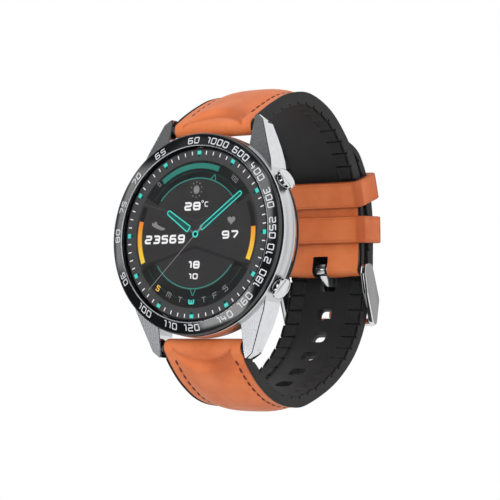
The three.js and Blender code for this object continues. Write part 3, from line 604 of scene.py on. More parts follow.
BEZEL_INNER = 19.9
SLOPE_START = (BEZEL_INNER + 0.3, BEZEL_TOP)
SLOPE_END = (BEZEL_RADIUS - 0.45, BEZEL_TOP + 0.62)
BEZEL_PROFILE = [
    (BEZEL_INNER, BEZEL_TOP + 0.35), (BEZEL_INNER + 0.12, BEZEL_TOP + 0.06),
    SLOPE_START, SLOPE_END, (BEZEL_RADIUS - 0.2, BEZEL_TOP + 0.74),
    (BEZEL_RADIUS - 0.06, BEZEL_TOP + 0.92), (BEZEL_RADIUS, BEZEL_TOP + 1.15),
    (BEZEL_RADIUS - 0.1, BEZEL_TOP + 1.6), (BEZEL_RADIUS - 0.4, BEZEL_HIGH.y),
    (BEZEL_INNER, BEZEL_HIGH.y),
]
TRIM_PROFILE = [
    (BEZEL_INNER + 0.06, BEZEL_TOP + 0.12), (BEZEL_INNER + 0.2, BEZEL_TOP - 0.03),
    (BEZEL_INNER + 0.34, BEZEL_TOP - 0.01), (BEZEL_INNER + 0.3, BEZEL_TOP + 0.1),
]
SEAT_PROFILE = [
    (BEZEL_RADIUS - 0.6, BEZEL_HIGH.y + 0.04), (BEZEL_RADIUS - 0.02, BEZEL_HIGH.y + 0.04),
    (BEZEL_RADIUS + 0.06, BEZEL_HIGH.y + 0.14), (BEZEL_RADIUS - 0.02, BEZEL_HIGH.y + 0.24),
    (BEZEL_RADIUS - 0.6, BEZEL_HIGH.y + 0.24),
]
NUMERAL_RADIUS = 21.25
NUMERAL_HEIGHT = 1.54
NUMERAL_WIDTH = 1.12
NUMERAL_GAP = 0.6
NUMERAL_STROKE = 0.25
NUMERAL_LIFT = 0.02
# Each speed with its clock angle on the bezel.
SPEED_SCALE = {
    60: 357, 65: 331, 70: 308, 75: 288, 80: 270, 90: 242, 100: 216, 110: 194, 120: 178,
    140: 153, 160: 136, 180: 119.5, 210: 103.5, 250: 88, 300: 69.5, 400: 51, 600: 34,
    1000: 15,
}
TOPS_INWARD = (90, 210)


def bezel_height(radius):
    """Depth of the sloping bezel face at a radius."""
    share = (radius - SLOPE_START[0]) / (SLOPE_END[0] - SLOPE_START[0])
    return SLOPE_START[1] + share * (SLOPE_END[1] - SLOPE_START[1])


def build_bezel():
    new_piece("bezel_face", turned(BEZEL_PROFILE, 192), CERAMIC, "case", 30,
              replaces=["bezel_ring"])
    new_piece("bezel_inner_trim", turned(TRIM_PROFILE, 192), MACHINED, "case")
    new_piece("bezel_seat_ring", turned(SEAT_PROFILE, 160), BLACK_PLASTIC, "case")


def build_glass():
    edge, rear = 0.1, GLASS_LOW.y + 0.3
    profile = [(0, GLASS_LOW.y), (GLASS_RADIUS - edge, GLASS_LOW.y),
               (GLASS_RADIUS, GLASS_LOW.y + edge), (GLASS_RADIUS, rear), (0, rear)]
    glass = new_piece("glass_disc", turned(profile, 128), [GLASS, PAINTED_GROOVE_SHADE], "case",
                      20, replaces=["cover_glass"])
    for face in glass.data.polygons:
        # The glass rim is near-black: painted shade for the dark gap round the glass.
        face.material_index = 0 if abs(face.normal.y) > 0.9 else 1


# ---------------------------------------------------------------- stroke lettering

# Squared glyphs as lines in a unit box.
GLYPHS = {
    "0": [[(0, 0), (1, 0), (1, 1), (0, 1), (0, 0)]],
    "1": [[(0.1, 1), (0.55, 1), (0.55, 0)]],
    "2": [[(0, 1), (1, 1), (1, 0.5), (0, 0.5), (0, 0), (1, 0)]],
    "3": [[(0, 1), (1, 1), (1, 0), (0, 0)], [(0.25, 0.5), (1, 0.5)]],
    "4": [[(0, 1), (0, 0.38), (1, 0.38)], [(0.72, 0.72), (0.72, 0)]],
    "5": [[(1, 1), (0, 1), (0, 0.54), (1, 0.54), (1, 0), (0, 0)]],
    "6": [[(0.95, 1), (0, 1), (0, 0), (1, 0), (1, 0.54), (0, 0.54)]],
    "7": [[(0, 1), (1, 1), (1, 0.68), (0.42, 0)]],
    "8": [[(0, 0), (1, 0), (1, 1), (0, 1), (0, 0)], [(0, 0.52), (1, 0.52)]],
    "9": [[(0.05, 0), (1, 0), (1, 1), (0, 1), (0, 0.46), (1, 0.46)]],
    "C": [[(1, 1), (0, 1), (0, 0), (1, 0)]],
    "F": [[(1, 1), (0, 1), (0, 0)], [(0, 0.5), (0.8, 0.5)]],
    "M": [[(0, 0), (0, 1), (1, 1), (1, 0)], [(0.5, 1), (0.5, 0.15)]],
    "S": [[(1, 1), (0, 1), (0, 0.54), (1, 0.54), (1, 0), (0, 0)]],
    "T": [[(0, 1), (1, 1)], [(0.5, 1), (0.5, 0)]],
    "W": [[(0, 1), (0, 0), (1, 0), (1, 1)], [(0.5, 0), (0.5, 0.85)]],
}
NARROW_GLYPHS = {"1": 0.6}


def text_lines(text, height, width, gap, slant=0.0):
    """Centre lines of a text, centred on the origin, as lists of (u, v)."""
    widths = [width * NARROW_GLYPHS.get(c, 1) for c in text]
    left = -(sum(widths) + gap * (len(text) - 1)) / 2
    lines = []
    for letter, own_width in zip(text, widths):
        lines += [[(left + u * width + slant * (v - 0.5) * height, (v - 0.5) * height)
                   for u, v in stroke] for stroke in GLYPHS[letter]]
        left += own_width + gap
    return lines


def ribbon(line, half_width, place, low, high):
    """A flat strip along a 2D line, as a thin closed solid from one level to another."""
    closed = (Vector(line[0]) - Vector(line[-1])).length < 1e-6
    path = rounded(line[:-1] if closed else line, half_width * 1.6, 3, closed)
    path = [p for i, p in enumerate(path) if i == 0 or (p - path[i - 1]).length > 1e-5]
    sections = []
    count = len(path)
    for i in range(count):
        before = path[i - 1] if closed or i else path[i]
        after = path[(i + 1) % count] if closed or i < count - 1 else path[i]
        along = (path[i] - before).normalized() + (after - path[i]).normalized()
        side = Vector((-along.y, along.x)).normalized() * half_width
        left, right = path[i] + side, path[i] - side
        sections.append([place(left, high), place(right, high), place(right, low),
                         place(left, low)])
    return loft(sections, closed)


def on_bezel(radius, degrees, turn):
    """Wraps (u, v) lettering round the bezel at a clock angle. Turn is -1 where the tops of
    the letters point inwards."""
    def place(point, lift):
        reach = radius + point[1] * turn
        angle = math.radians(degrees) + turn * point[0] / radius
        return (reach * math.sin(angle), bezel_height(reach) - lift, reach * math.cos(angle))
    return place


def build_numerals():
    parts = []
    for value, degrees in SPEED_SCALE.items():
        turn = -1 if TOPS_INWARD[0] <= value <= TOPS_INWARD[1] else 1
        place = on_bezel(NUMERAL_RADIUS, degrees, turn)
        lines = text_lines(str(value), NUMERAL_HEIGHT - NUMERAL_STROKE, NUMERAL_WIDTH,
                           NUMERAL_GAP)
        parts += [ribbon(line, NUMERAL_STROKE / 2, place, -NUMERAL_LIFT, NUMERAL_LIFT)
                  for line in lines]
    new_piece("bezel_numerals", merged(*parts), NUMERAL, "case", 20)


# ---------------------------------------------------------------- screen

SCREEN_RADIUS = GLASS_RADIUS - 0.05
SCREEN_REAR = -10.22
SCREEN_FRONT = -10.30
LAYER = 0.014
TEAL = lit("teal", 70, 224, 208)
TEAL_MID = lit("teal_mid", 38, 128, 116)
TEAL_DARK = lit("teal_dark", 16, 78, 74)
TEAL_LINE = lit("teal_line", 44, 150, 136)
BLACK = lit("black", 3, 6, 6)
GREY_RING = lit("ring_grey", 64, 63, 65)
GREY_FIELD = lit("field_grey", 42, 40, 42)
GREY_LINE = lit("line_grey", 96, 98, 100)
ICON = lit("icon_grey", 140, 139, 138)
WHITE = lit("white", 250, 250, 250)
YELLOW = lit("yellow", 250, 204, 70)
DARK_SHADE = lit("shade", 24, 22, 24)
GAUGE_GLOW = lit_between("gauge_orange", colour(250, 214, 60), colour(240, 130, 36), -6.4, 3.3)
RING_INNER, RING_OUTER = 16.75, 19.25
BAND_INNER, BAND_OUTER = 12.75, 16.7
LOWER_LINE = 12.35
SIDE_ARC = (15.0, 16.15)
CENTRE = Vector((0, 0))


def clock(radius, degrees):
    """A dial point (x, z) at a radius and a clock angle."""
    angle = math.radians(degrees)
    return Vector((radius * math.sin(angle), radius * math.cos(angle)))


def layer_depths(level):
    """Front and back of a thin layer on the screen. Level counts layers in front of it."""
    return SCREEN_FRONT - LAYER * level, SCREEN_FRONT - LAYER * (level - 1.3)


def sheet_of(outline, level):
    return loft([[front_view(p, y) for p in outline] for y in layer_depths(level)])


def arc_band(inner, outer, start, end, level):
    """Part of a ring between two clock angles, as a chain of sections."""
    steps = max(3, int(abs(end - start) / 3))
    front, back = layer_depths(level)
    whole = abs(end - start) >= 360
    sections = []
    for i in range(steps if whole else steps + 1):
        degrees = start + (end - start) * i / steps
        near, far = clock(inner, degrees), clock(outer, degrees)
        sections.append([front_view(near, front), front_view(far, front),
                         front_view(far, back), front_view(near, back)])
    return loft(sections, whole)


def dot(centre, radius, level, count=20, stretch=1.0):
    return sheet_of([centre + Vector((u, v * stretch)) * radius
                     for u, v in unit_circle(count)], level)


def screen_line(line, width, level):
    """A drawn line on the screen."""
    front, back = layer_depths(level)
    return ribbon(line, width / 2, front_view, back, front)


def hoop(centre, radius, width, count, level):
    """A small closed ring, such as a degree sign."""
    circle = unit_circle(count)
    return screen_line([centre + p * radius for p in [*circle, circle[0]]], width, level)


def screen_text(text, centre, height, width, gap, stroke, slant=0.0, turn=0.0):
    """Lettering on the screen, turned clockwise by turn degrees."""
    u_line, v_line = clock(1, turn + 90), clock(1, turn)
    lines = text_lines(text, height - stroke, width - stroke, gap + stroke, slant)
    return merged(*[
        screen_line([Vector(centre) + u_line * u + v_line * v for u, v in line], stroke, 4)
        for line in lines])


def screen_piece(name, finish, *parts):
    new_piece(f"screen_{name}", merged(*parts), finish, "case", 20)


def build_screen():
    disc = [(0, SCREEN_FRONT), (SCREEN_RADIUS, SCREEN_FRONT), (SCREEN_RADIUS, SCREEN_REAR),
            (0, SCREEN_REAR)]
    new_piece("screen_disc", turned(disc), BLACK, "case",
              replaces=["display_panel"])
    build_fields()
    build_minute_track()
    build_gauges()
    build_readings()
    build_hands()


def build_fields():
    screen_piece("field", GREY_FIELD, dot(CENTRE, RING_INNER, 1, 96))
    screen_piece("divider_shade", DARK_SHADE,
                 screen_line([(-14.3, -7.3), (0, -2.9), (14.3, -7.3)], 0.75, 2))
    screen_piece("divider_lines", GREY_RING,
                 screen_line([(-15.2, 7.4), (-8.6, 5.5)], 0.16, 2),
                 screen_line([(14.3, 8.6), (12.6, 7.9)], 0.16, 2),
                 screen_line([(-3.5, 3.9), (0, 3.1), (3.5, 3.9)], 0.14, 2))
    screen_piece("bands", BLACK, arc_band(BAND_INNER, BAND_OUTER, -58, 59, 2),
                 arc_band(BAND_INNER, BAND_OUTER, 119, 241, 2),
                 arc_band(*SIDE_ARC, 63, 85, 2), arc_band(*SIDE_ARC, 282, 294.5, 2))


def build_minute_track():
    def marks(angles, inner, outer, width, level):
        return [screen_line([clock(inner, a), clock(outer, a)], width, level) for a in angles]

    hours = range(0, 360, 30)
    minutes = [a for a in range(0, 360, 6) if a % 30]
    screen_piece("minute_ring", GREY_RING, arc_band(RING_INNER, RING_OUTER, 0, 360, 1.6))
    screen_piece("minute_ticks", WHITE, *marks(minutes, 18.1, 18.95, 0.24, 3))
    screen_piece("hour_blocks", TEAL, *marks(hours, 18.15, 18.98, 1.0, 3))
    screen_piece("hour_blocks_dim", TEAL_DARK, *marks(hours, 17.35, 18.15, 1.0, 3))
    screen_piece("hour_block_hollows", BLACK, *marks(hours, 17.55, 17.95, 0.5, 4))


def pointer(degrees, base_radius, tip_radius, half_angle):
    return screen_line([clock(base_radius, degrees - half_angle), clock(tip_radius, degrees),
                        clock(base_radius, degrees + half_angle)], 0.2, 3)


def build_gauges():
    screen_piece("gauge_fill", TEAL_MID, arc_band(14.95, 16.15, -38.5, 21, 3))
    screen_piece("gauge_lines", TEAL_LINE,
                 arc_band(BAND_INNER - 0.12, BAND_INNER + 0.08, -52, 52, 3),
                 arc_band(LOWER_LINE - 0.1, LOWER_LINE + 0.1, 125, 235, 3),
                 pointer(19, BAND_INNER, 14.2, 3.3), pointer(180, LOWER_LINE, 14.1, 3.6))
    screen_piece("gauge_faint_lines", TEAL_DARK,
                 arc_band(14.2, 14.28, -56, 57, 3), arc_band(14.9, 14.98, 121, 239, 3))
    screen_piece("side_gauges", GAUGE_GLOW, arc_band(*SIDE_ARC, 85, 112.5, 3),
                 arc_band(*SIDE_ARC, 246, 282, 3))


def sun_icon(centre):
    rays = [dot(centre + Vector((u * 1.5, v * 1.75)), 0.15, 4, 8)
            for u, v in (clock(1, a) for a in range(0, 360, 36))]
    return merged(dot(centre, 0.82, 4, 24, 1.15), *rays)


def heart_icon(centre, size):
    outline = []
    for t in (FULL_TURN * i / 28 for i in range(28)):
        x = 16 * math.sin(t) ** 3
        z = 13 * math.cos(t) - 5 * math.cos(2 * t) - 2 * math.cos(3 * t) - math.cos(4 * t)
        outline.append(centre + Vector((x, z)) * (size / 32))
    return sheet_of(outline, 4)


def shoe_icon(centre, size):
    shape = [(-1.0, 0.55), (-0.72, 0.35), (-0.55, 0.62), (-0.36, 0.6), (-0.12, 0.18),
             (0.55, -0.1), (0.95, -0.22), (0.98, -0.45), (0.5, -0.5), (-0.3, -0.22),
             (-0.98, 0.12)]
    return sheet_of([centre + Vector(p) * (size / 2) for p in shape], 4)


def build_readings():
    screen_piece("icons", ICON, sun_icon(Vector((-0.3, 10.1))),
                 heart_icon(Vector((9.6, 2.9)), 2.1), shoe_icon(Vector((-10.4, 2.0)), 3.7))
    screen_piece("readings", WHITE,
                 screen_text("28", (-1.2, 6.35), 1.95, 2.05, 0.35, 0.46),
                 screen_text("23569", (-8.45, -1.0), 2.0, 1.95, 0.35, 0.46, slant=0.12),
                 screen_text("97", (9.4, -0.35), 1.85, 2.0, 0.38, 0.42),
                 screen_text("18", (-0.1, -6.95), 1.75, 1.75, 0.3, 0.42),
                 screen_text("10", (-0.15, -9.55), 1.35, 1.4, 0.28, 0.3),
                 screen_text("C", (2.65, 6.7), 1.15, 1.0, 0, 0.2),
                 hoop(Vector((1.55, 7.35)), 0.24, 0.12, 14, 4))
    days = {205.5: "M", 193: "T", 168: "T", 156: "F", 144.5: "S"}
    screen_piece("small_readings", ICON,
                 screen_text("0", clock(15.9, -42.5), 1.1, 0.62, 0.2, 0.13, turn=-42.5),
                 screen_text("100", clock(15.7, 39), 1.1, 0.62, 0.22, 0.13, turn=39),
                 *[screen_text(letter, clock(15.2, degrees), 1.35, 1.25, 0, 0.19,
                               turn=degrees - 180) for degrees, letter in days.items()])
    screen_piece("day_yellow", YELLOW,
                 screen_text("S", clock(15.5, 218.5), 1.35, 1.15, 0, 0.26, turn=38))
    screen_piece("day_teal", TEAL, screen_text("W", clock(15.25, 181), 1.25, 1.6, 0, 0.36))


def hand_outline(root, tip, root_width, tip_width):
    """Outline of a hand with a rounded tip."""
    along = (tip - root).normalized()
    side = Vector((-along.y, along.x))
    cap = [tip + (side * u + along * v) * tip_width / 2
           for u, v in unit_circle(7, 0, math.pi, ends=True)]
    return [root + side * root_width / 2, *cap, root - side * root_width / 2]


def build_hands():
    hour = hand_outline(clock(2.2, 301), clock(9.0, 303.5), 1.5, 1.0)
    minute = hand_outline(clock(1.9, 50), clock(14.6, 52.5), 0.95, 0.85)
    screen_piece("hands_fill", TEAL_DARK, sheet_of(hour, 5), sheet_of(minute, 5))
    screen_piece("hands", TEAL, screen_line([*hour, hour[0]], 0.26, 6),
                 screen_line([*minute, minute[0]], 0.24, 6), hoop(CENTRE, 0.62, 0.36, 18, 8))
    screen_piece("second_hand", GREY_LINE,
                 screen_line([clock(0.7, 301), clock(2.2, 301)], 0.5, 5),
                 screen_line([clock(0.7, 52), clock(1.9, 51)], 0.5, 5))
    screen_piece("second_hand_line", ICON,
                 screen_line([clock(0.9, 44.5), clock(2.6, 44.5)], 0.34, 7),
                 screen_line([clock(0.6, 224.5), clock(17.6, 224.5)], 0.15, 7))
    screen_piece("hub", BLACK, dot(CENTRE, 0.46, 8))


# ---------------------------------------------------------------- push buttons

CAP_FOOT = 17.9
CAP_RIM = 23.8
CAP_TOP = 25.3
CAP_RADIUS = 2.5
CAP_BORE = 1.95
CAP_FLOOR = 24.45
STEM_RADIUS = 0.8
CAP_RIBS = 12
RIB_DEPTH = 0.17
RIBBED_POINTS = range(5, 8)
BUTTON_COIL = {"radius": 1.15, "wire": 0.1, "start": 22.35, "end": 24.38, "turns": 6}
SLEEVE_PROFILE = [(1.0, 18.95), (1.75, 18.95), (1.75, 23.6), (1.45, 23.6), (1.45, 21.6),
                  (1.0, 21.6)]


def build_button(prefix, angle):
    """A fluted barrel under a smooth domed cap, hollow over its tube and spring."""
    def flute(turn, i):
        deep = RIB_DEPTH * (0.5 + 0.5 * math.tanh(4 * math.cos(turn * CAP_RIBS)))
        return 1 - deep if i in RIBBED_POINTS else 1

    profile = [(0, CAP_FOOT), (STEM_RADIUS, CAP_FOOT), (STEM_RADIUS, CAP_FLOOR),
               (CAP_BORE, CAP_FLOOR), (CAP_BORE, CAP_RIM)]
    profile += [(CAP_RADIUS - drop, CAP_RIM + rise) for drop, rise in (
        (0.12, 0), (0, 0.1), (0, 0.62), (0.1, 0.72), (0.02, 0.8), (0.04, 0.98), (0.2, 1.16))]
    profile += [(CAP_RADIUS - 0.6, CAP_TOP - 0.2), (CAP_RADIUS - 1.2, CAP_TOP - 0.06),
                (CAP_RADIUS - 1.9, CAP_TOP - 0.005), (0, CAP_TOP)]
    knob = new_piece(f"{prefix}_button_knob",
                     onto_button(turned(profile, CAP_RIBS * 10, flute), angle),
                     [POLISHED, PAINTED_GROOVE_SHADE], f"{prefix}_button", 32,
                     replaces=[f"{prefix}_button_cap"])
    darken_flutes(knob, level_direction(angle))
    new_piece(f"{prefix}_button_sleeve", onto_button(turned(SLEEVE_PROFILE, 48), angle),
              MACHINED, "case", replaces=[f"{prefix}_button_tube"])


def darken_flutes(knob, out):
    """Near-black floors between the ribs of a button: painted shade in the flutes."""
    for face in knob.data.polygons:
        centre = face.center / MM - Vector((0, BUTTON_Y, 0))
        along = centre.dot(out)
        away = (centre - out * along).length
        in_flute = CAP_RIM < along < CAP_RIM + 0.7 and away < CAP_RADIUS * (1 - RIB_DEPTH / 2)
        face.material_index = 1 if in_flute and away > CAP_BORE + 0.01 else 0


def build_button_spring(prefix, angle):
    """A wound spring under the cap, with a mesh of its own."""
    spring = new_piece(f"{prefix}_button_coil", onto_button(coil(**BUTTON_COIL), angle),
                       MACHINED, "case", replaces=[f"{prefix}_button_spring"])
    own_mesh(spring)


# ---------------------------------------------------------------- case back

SCREW_OFFSET = 14.284
CONTACT_X, CONTACT_Z = 3.2, -14.2
DISH_EDGE = -0.7
SCREW_PROFILE = [
    (0, -3.6), (0.3, -3.6), (0.45, -3.45), (0.45, -1.3), (0.95, -1.3), (1.0, -1.2),
    (1.0, -0.92), (0.9, -0.82), (0.55, -0.82), (0.5, -1.08), (0, -1.08),
]
SCREW_STAR_POINTS = (7, 8)
SCREW_SINK = [(0, -2), (0.75, -2), (0.75, -1.35), (1.3, -1.35), (1.3, -0.9),
              (1.45, DISH_EDGE), (0, DISH_EDGE)]
CONTACT_HOLE = [(0, -2), (1.3, -2), (1.3, -0.9), (1.42, DISH_EDGE), (0, DISH_EDGE)]
CONTACT_PROFILE = [(0, -2.6), (1.0, -2.6), (1.0, -0.86), (0.92, -0.74), (0.6, -0.7),
                   (0.35, -0.74), (0, -0.76)]


def at(x, z):
    return lambda p: (p.x + x, p.y, p.z + z)


def screw_star(turn, i):
    """The star recess of a screw head."""
    return 1 - 0.22 * (0.5 + 0.5 * math.cos(6 * turn)) if i in SCREW_STAR_POINTS else 1


def build_case_back():
    rim, top = WINDOW_HIGH.x + 0.3, COVER_HIGH.y
    cover = new_piece("back_cover", turned([
        (rim - 0.8, COVER_LOW.y), (COVER_RADIUS, COVER_LOW.y), (COVER_RADIUS, top - 0.45),
        (COVER_RADIUS - 0.12, top - 0.25), (COVER_RADIUS - 0.7, top - 0.02),
        (COVER_RADIUS - 0.9, top), (18.9, top), (18.85, top - 0.08), (18.65, top - 0.08),
        (18.6, top), (rim + 0.15, top), (rim, top - 0.12), (rim, COVER_LOW.y + 0.25),
        (rim - 0.8, COVER_LOW.y + 0.25)], 128), BLACK_PLASTIC, "case", 30,
        replaces=["rear_cover"])
    screw_places = [(x * SCREW_OFFSET, z * SCREW_OFFSET) for x in (1, -1) for z in (1, -1)]
    contacts = {"left": -CONTACT_X, "right": CONTACT_X}
    holes = [moved(turned(SCREW_SINK, 32), at(x, z)) for x, z in screw_places]
    holes += [moved(turned(CONTACT_HOLE, 32), at(x, CONTACT_Z)) for x in contacts.values()]
    boolean(cover, merged(*holes), sharp=30)
    for i, (x, z) in enumerate(screw_places):
        new_piece(f"back_screw_{i + 1}", moved(turned(SCREW_PROFILE, 48, screw_star), at(x, z)),
                  MACHINED, "case", 30, replaces=[f"rear_screw_{i + 1}"])
    for side, x in contacts.items():
        new_piece(f"charge_pad_{side}", moved(turned(CONTACT_PROFILE, 40), at(x, CONTACT_Z)),
                  GOLD, "case", replaces=[f"charge_contact_{side}"])
    radius = WINDOW_HIGH.x
    new_piece("sensor_glass", turned([
        (0, WINDOW_LOW.y), (radius, WINDOW_LOW.y), (radius, -0.62), (radius - 0.12, -0.42),
        (radius - 0.45, -0.12), (radius - 0.8, 0.0), (0, 0.0)]), SENSOR_GLASS, "case",
        40, replaces=["sensor_window"])


# ---------------------------------------------------------------- spring bars

BAR_END = 10.9
BAR_BORE = 0.6
PIN_RADIUS = 0.4
SPRING_SEAT = 3.2
PIN_START = 5.6
RELEASE_KNOB_X = 7.9
RELEASE_WINDOW = (5.9, 8.6)


def along_bar(z):
    """Places a solid built along +Y on the spring bar at height z."""
    return lambda p: (p.y, BAR_Y + p.x, z + p.z)


def build_spring_bar(prefix, z):
    """A hollow bar with a waist at its fixed end and a sprung pin at the other."""
    onto, end = along_bar(z), BAR_END
    body = [
        (0, -PIN_REACH), (0.3, -PIN_REACH), (PIN_RADIUS, -PIN_REACH + 0.12),
        (PIN_RADIUS, -end), (0.75, -end), (BAR_RADIUS, 0.12 - end), (BAR_RADIUS, 0.5 - end),
        (0.72, 0.6 - end), (0.72, 0.9 - end), (BAR_RADIUS, 1.0 - end),
        (BAR_RADIUS, SPRING_SEAT), (0, SPRING_SEAT),
    ]
    sleeve = [(BAR_BORE, SPRING_SEAT - 0.05), (BAR_RADIUS, SPRING_SEAT - 0.05),
              (BAR_RADIUS, RELEASE_WINDOW[0]), (BAR_BORE, RELEASE_WINDOW[0])]
    nose = [(BAR_BORE, RELEASE_WINDOW[1]), (BAR_RADIUS, RELEASE_WINDOW[1]),
            (BAR_RADIUS, end - 0.12), (0.76, end), (BAR_BORE, end)]
    new_piece(f"{prefix}_lug_bar",
              merged(*[moved(turned(each, 32), onto) for each in (body, sleeve, nose)]),
              MACHINED, "case", replaces=[f"{prefix}_spring_bar"])
    pin = [(0, PIN_START), (PIN_RADIUS, PIN_START), (PIN_RADIUS, PIN_REACH - 0.12),
           (0.3, PIN_REACH), (0, PIN_REACH)]
    reach = node_box(f"{prefix}_release_pin")[1].y
    lever = [(0, BAR_Y), (0.35, BAR_Y), (0.35, reach - 0.72), (0.55, reach - 0.68),
             (0.6, reach - 0.6), (0.6, reach - 0.1), (0.5, reach), (0, reach)]
    new_piece(f"{prefix}_quick_release",
              merged(moved(turned(pin, 32), onto),
                     moved(turned(lever, 24), at(RELEASE_KNOB_X, z))),
              MACHINED, f"{prefix}_release",
              replaces=[f"{prefix}_release_pin"])
    winding = coil(0.38, 0.08, SPRING_SEAT + 0.05, PIN_START - 0.05, 7)
    spring = new_piece(f"{prefix}_lug_bar_coil", moved(winding, onto), MACHINED, "case",
                       replaces=[f"{prefix}_bar_spring"])
    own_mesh(spring)


# ---------------------------------------------------------------- strap routes

# Outer face of each strap half from its spring bar to the buckle (y, z), as the CAD has it.
UPPER_POINTS = [
    (-5.4, 26.6), (-2.4, 28.8), (2.4, 31.8), (9.0, 35.0), (17.6, 36.6), (27.2, 34.4),
    (35.0, 29.3), (40.4, 23.5), (43.8, 17.5), (45.7, 11.0), (46.5, 4.0), (46.7, -3.6),
]
LOWER_POINTS = [
    (-5.4, -26.6), (-2.6, -29.6), (2.0, -33.2), (8.2, -36.2), (15.0, -37.3), (22.0, -36.5),
    (33.6, -31.3), (42.0, -24.6), (46.7, -17.6), (48.9, -10.0),
]
TAIL_SHARES = (0.98, 0.93, 0.87, 0.81, 0.75, 0.69, 0.64, 0.6, 0.565)
LEATHER_END_SHARE = 0.985
TURN_BACK_SHARE = 0.762
UPPER_DEPTH = 3.2
LOWER_DEPTH = 2.8
LAYER_GAP = 0.65
KNUCKLE_RADIUS = 2.0
KNUCKLE_SHIFT = 0.35
KNUCKLE_LENGTH = KNUCKLE_RADIUS * math.radians(225)
ROLL_RADIUS = 1.82
TAPER_LENGTH = 18


def spline(points, steps=24):
    """A smooth line through 2D points."""
    knots = [Vector(p) for p in points]
    line = []
    for i in range(len(knots) - 1):
        a, b, c = knots[max(i - 1, 0)], knots[i], knots[i + 1]
        d = knots[min(i + 2, len(knots) - 1)]
        into, out_of = (c - a) / 2, (d - b) / 2
        for t in (step / steps for step in range(steps)):
            line.append(b + into * t + (3 * (c - b) - 2 * into - out_of) * t ** 2
                        + (2 * (b - c) + into + out_of) * t ** 3)
    return [*line, knots[-1]]


class Route:
    """A line in (y, z) measured by its length, with its outer side at sign times the left."""

    def __init__(self, points, sign):
        self.points = points
        self.sign = sign
        self.marks = [0.0]
        for a, b in zip(points, points[1:]):
            self.marks.append(self.marks[-1] + (b - a).length)
        self.length = self.marks[-1]

    def spot(self, distance):
        distance = min(max(distance, 0), self.length)
        i = min(bisect.bisect_right(self.marks, distance), len(self.marks) - 1) - 1
        share = (distance - self.marks[i]) / (self.marks[i + 1] - self.marks[i])
        return self.points[i].lerp(self.points[i + 1], share)

    def direction(self, distance, reach=0.35):
        """A smoothed direction, so that neighbouring sections don't kink."""
        return (self.spot(distance + reach) - self.spot(distance - reach)).normalized()

    def place(self, distance, out):
        """The point at a distance along the line, moved out of the loop."""
        along = self.direction(distance)
        return self.spot(distance) + Vector((-along.y, along.x)) * self.sign * out


def arc_points(centre, radius, start, end, steps):
    return [Vector(centre) + p * radius for p in
            unit_circle(steps + 1, math.radians(start), math.radians(end), ends=True)]


def tail_taper(left):
    """Thickness share of the tail where so many millimetres are left to its tip."""
    return 1 - 0.45 * smooth(1 - left / TAPER_LENGTH)


UPPER_CURVE = Route(spline(UPPER_POINTS), 1)
TAIL = [
    UPPER_CURVE.place(
        UPPER_CURVE.length * share,
        LAYER_GAP + LOWER_DEPTH * tail_taper(UPPER_CURVE.length * (share - TAIL_SHARES[-1])))
    for share in TAIL_SHARES
]
LOWER_CURVE = Route(spline([*LOWER_POINTS, *TAIL]), -1)


def face_points(curve, end):
    return [p for p, mark in zip(curve.points, curve.marks) if 0.5 < mark < end]


def upper_leather_route():
    """Round the spring bar, along the face, round the buckle bar and back inside."""
    curve = UPPER_CURVE
    end, start = curve.length * LEATHER_END_SHARE, curve.length * TURN_BACK_SHARE
    wrap = arc_points((BAR_Y, BAR_Z - KNUCKLE_SHIFT), KNUCKLE_RADIUS, 360, 132, 24)
    roll = arc_points((BUCKLE_Y, BUCKLE_Z), ROLL_RADIUS, -8, -172, 18)
    back = [curve.place(start + (end - 2.2 - start) * i / 24, -UPPER_DEPTH)
            for i in range(24, -1, -1)]
    return Route([*wrap, *face_points(curve, end - 0.8), *roll, *back], 1)


def lower_leather_route():
    wrap = arc_points((BAR_Y, KNUCKLE_SHIFT - BAR_Z), KNUCKLE_RADIUS, 0, 228, 24)
    return Route([*wrap, *face_points(LOWER_CURVE, math.inf)], -1)


# ---------------------------------------------------------------- strap leather

LEATHER_HALF_WIDTH = STRAP_HALF_WIDTH - 0.45
STITCH_X = 8.3
PAD_HEIGHT = 1.25
PAD_FADE = 18
ARCH_START = -1.3
ARCH_RISE = 3.6
STITCH = {"pitch": 2.3, "length": 1.5, "radius": 0.19}
HALF_ACROSS = (0.8, 2.0, 3.4, 4.8, 6.0, 6.9, 7.5, 7.85, 8.1, STITCH_X, 8.5, 8.75, 9.2, 9.8,
               10.2, 10.42, LEATHER_HALF_WIDTH)
# Painted shade for the points on the underside of the leather.
UNDER_PAINTED_SHADE = 0.6
GROOVE_LEAD = 0.2
# Stitched stretches past the bar, and the one at the tail by what is left to its tip.
UPPER_STITCHES = (4.0, 30)
LOWER_STITCHES = (2.1, 32)
TAIL_STITCHES_LEFT = (27, 8.5)
UPPER_PAD_END, LOWER_PAD_END = 48, 50
UPPER_RISES, LOWER_RISES = (0.86, 0.9), (0.72, 0.72)
LEATHER_THIN = 0.34
SEAT_THIN = 0.45


def mirrored(half):
    """Widths across the strap from those on one side."""
    return [-x for x in reversed(half)] + [0.0, *half]


ACROSS = mirrored(HALF_ACROSS)


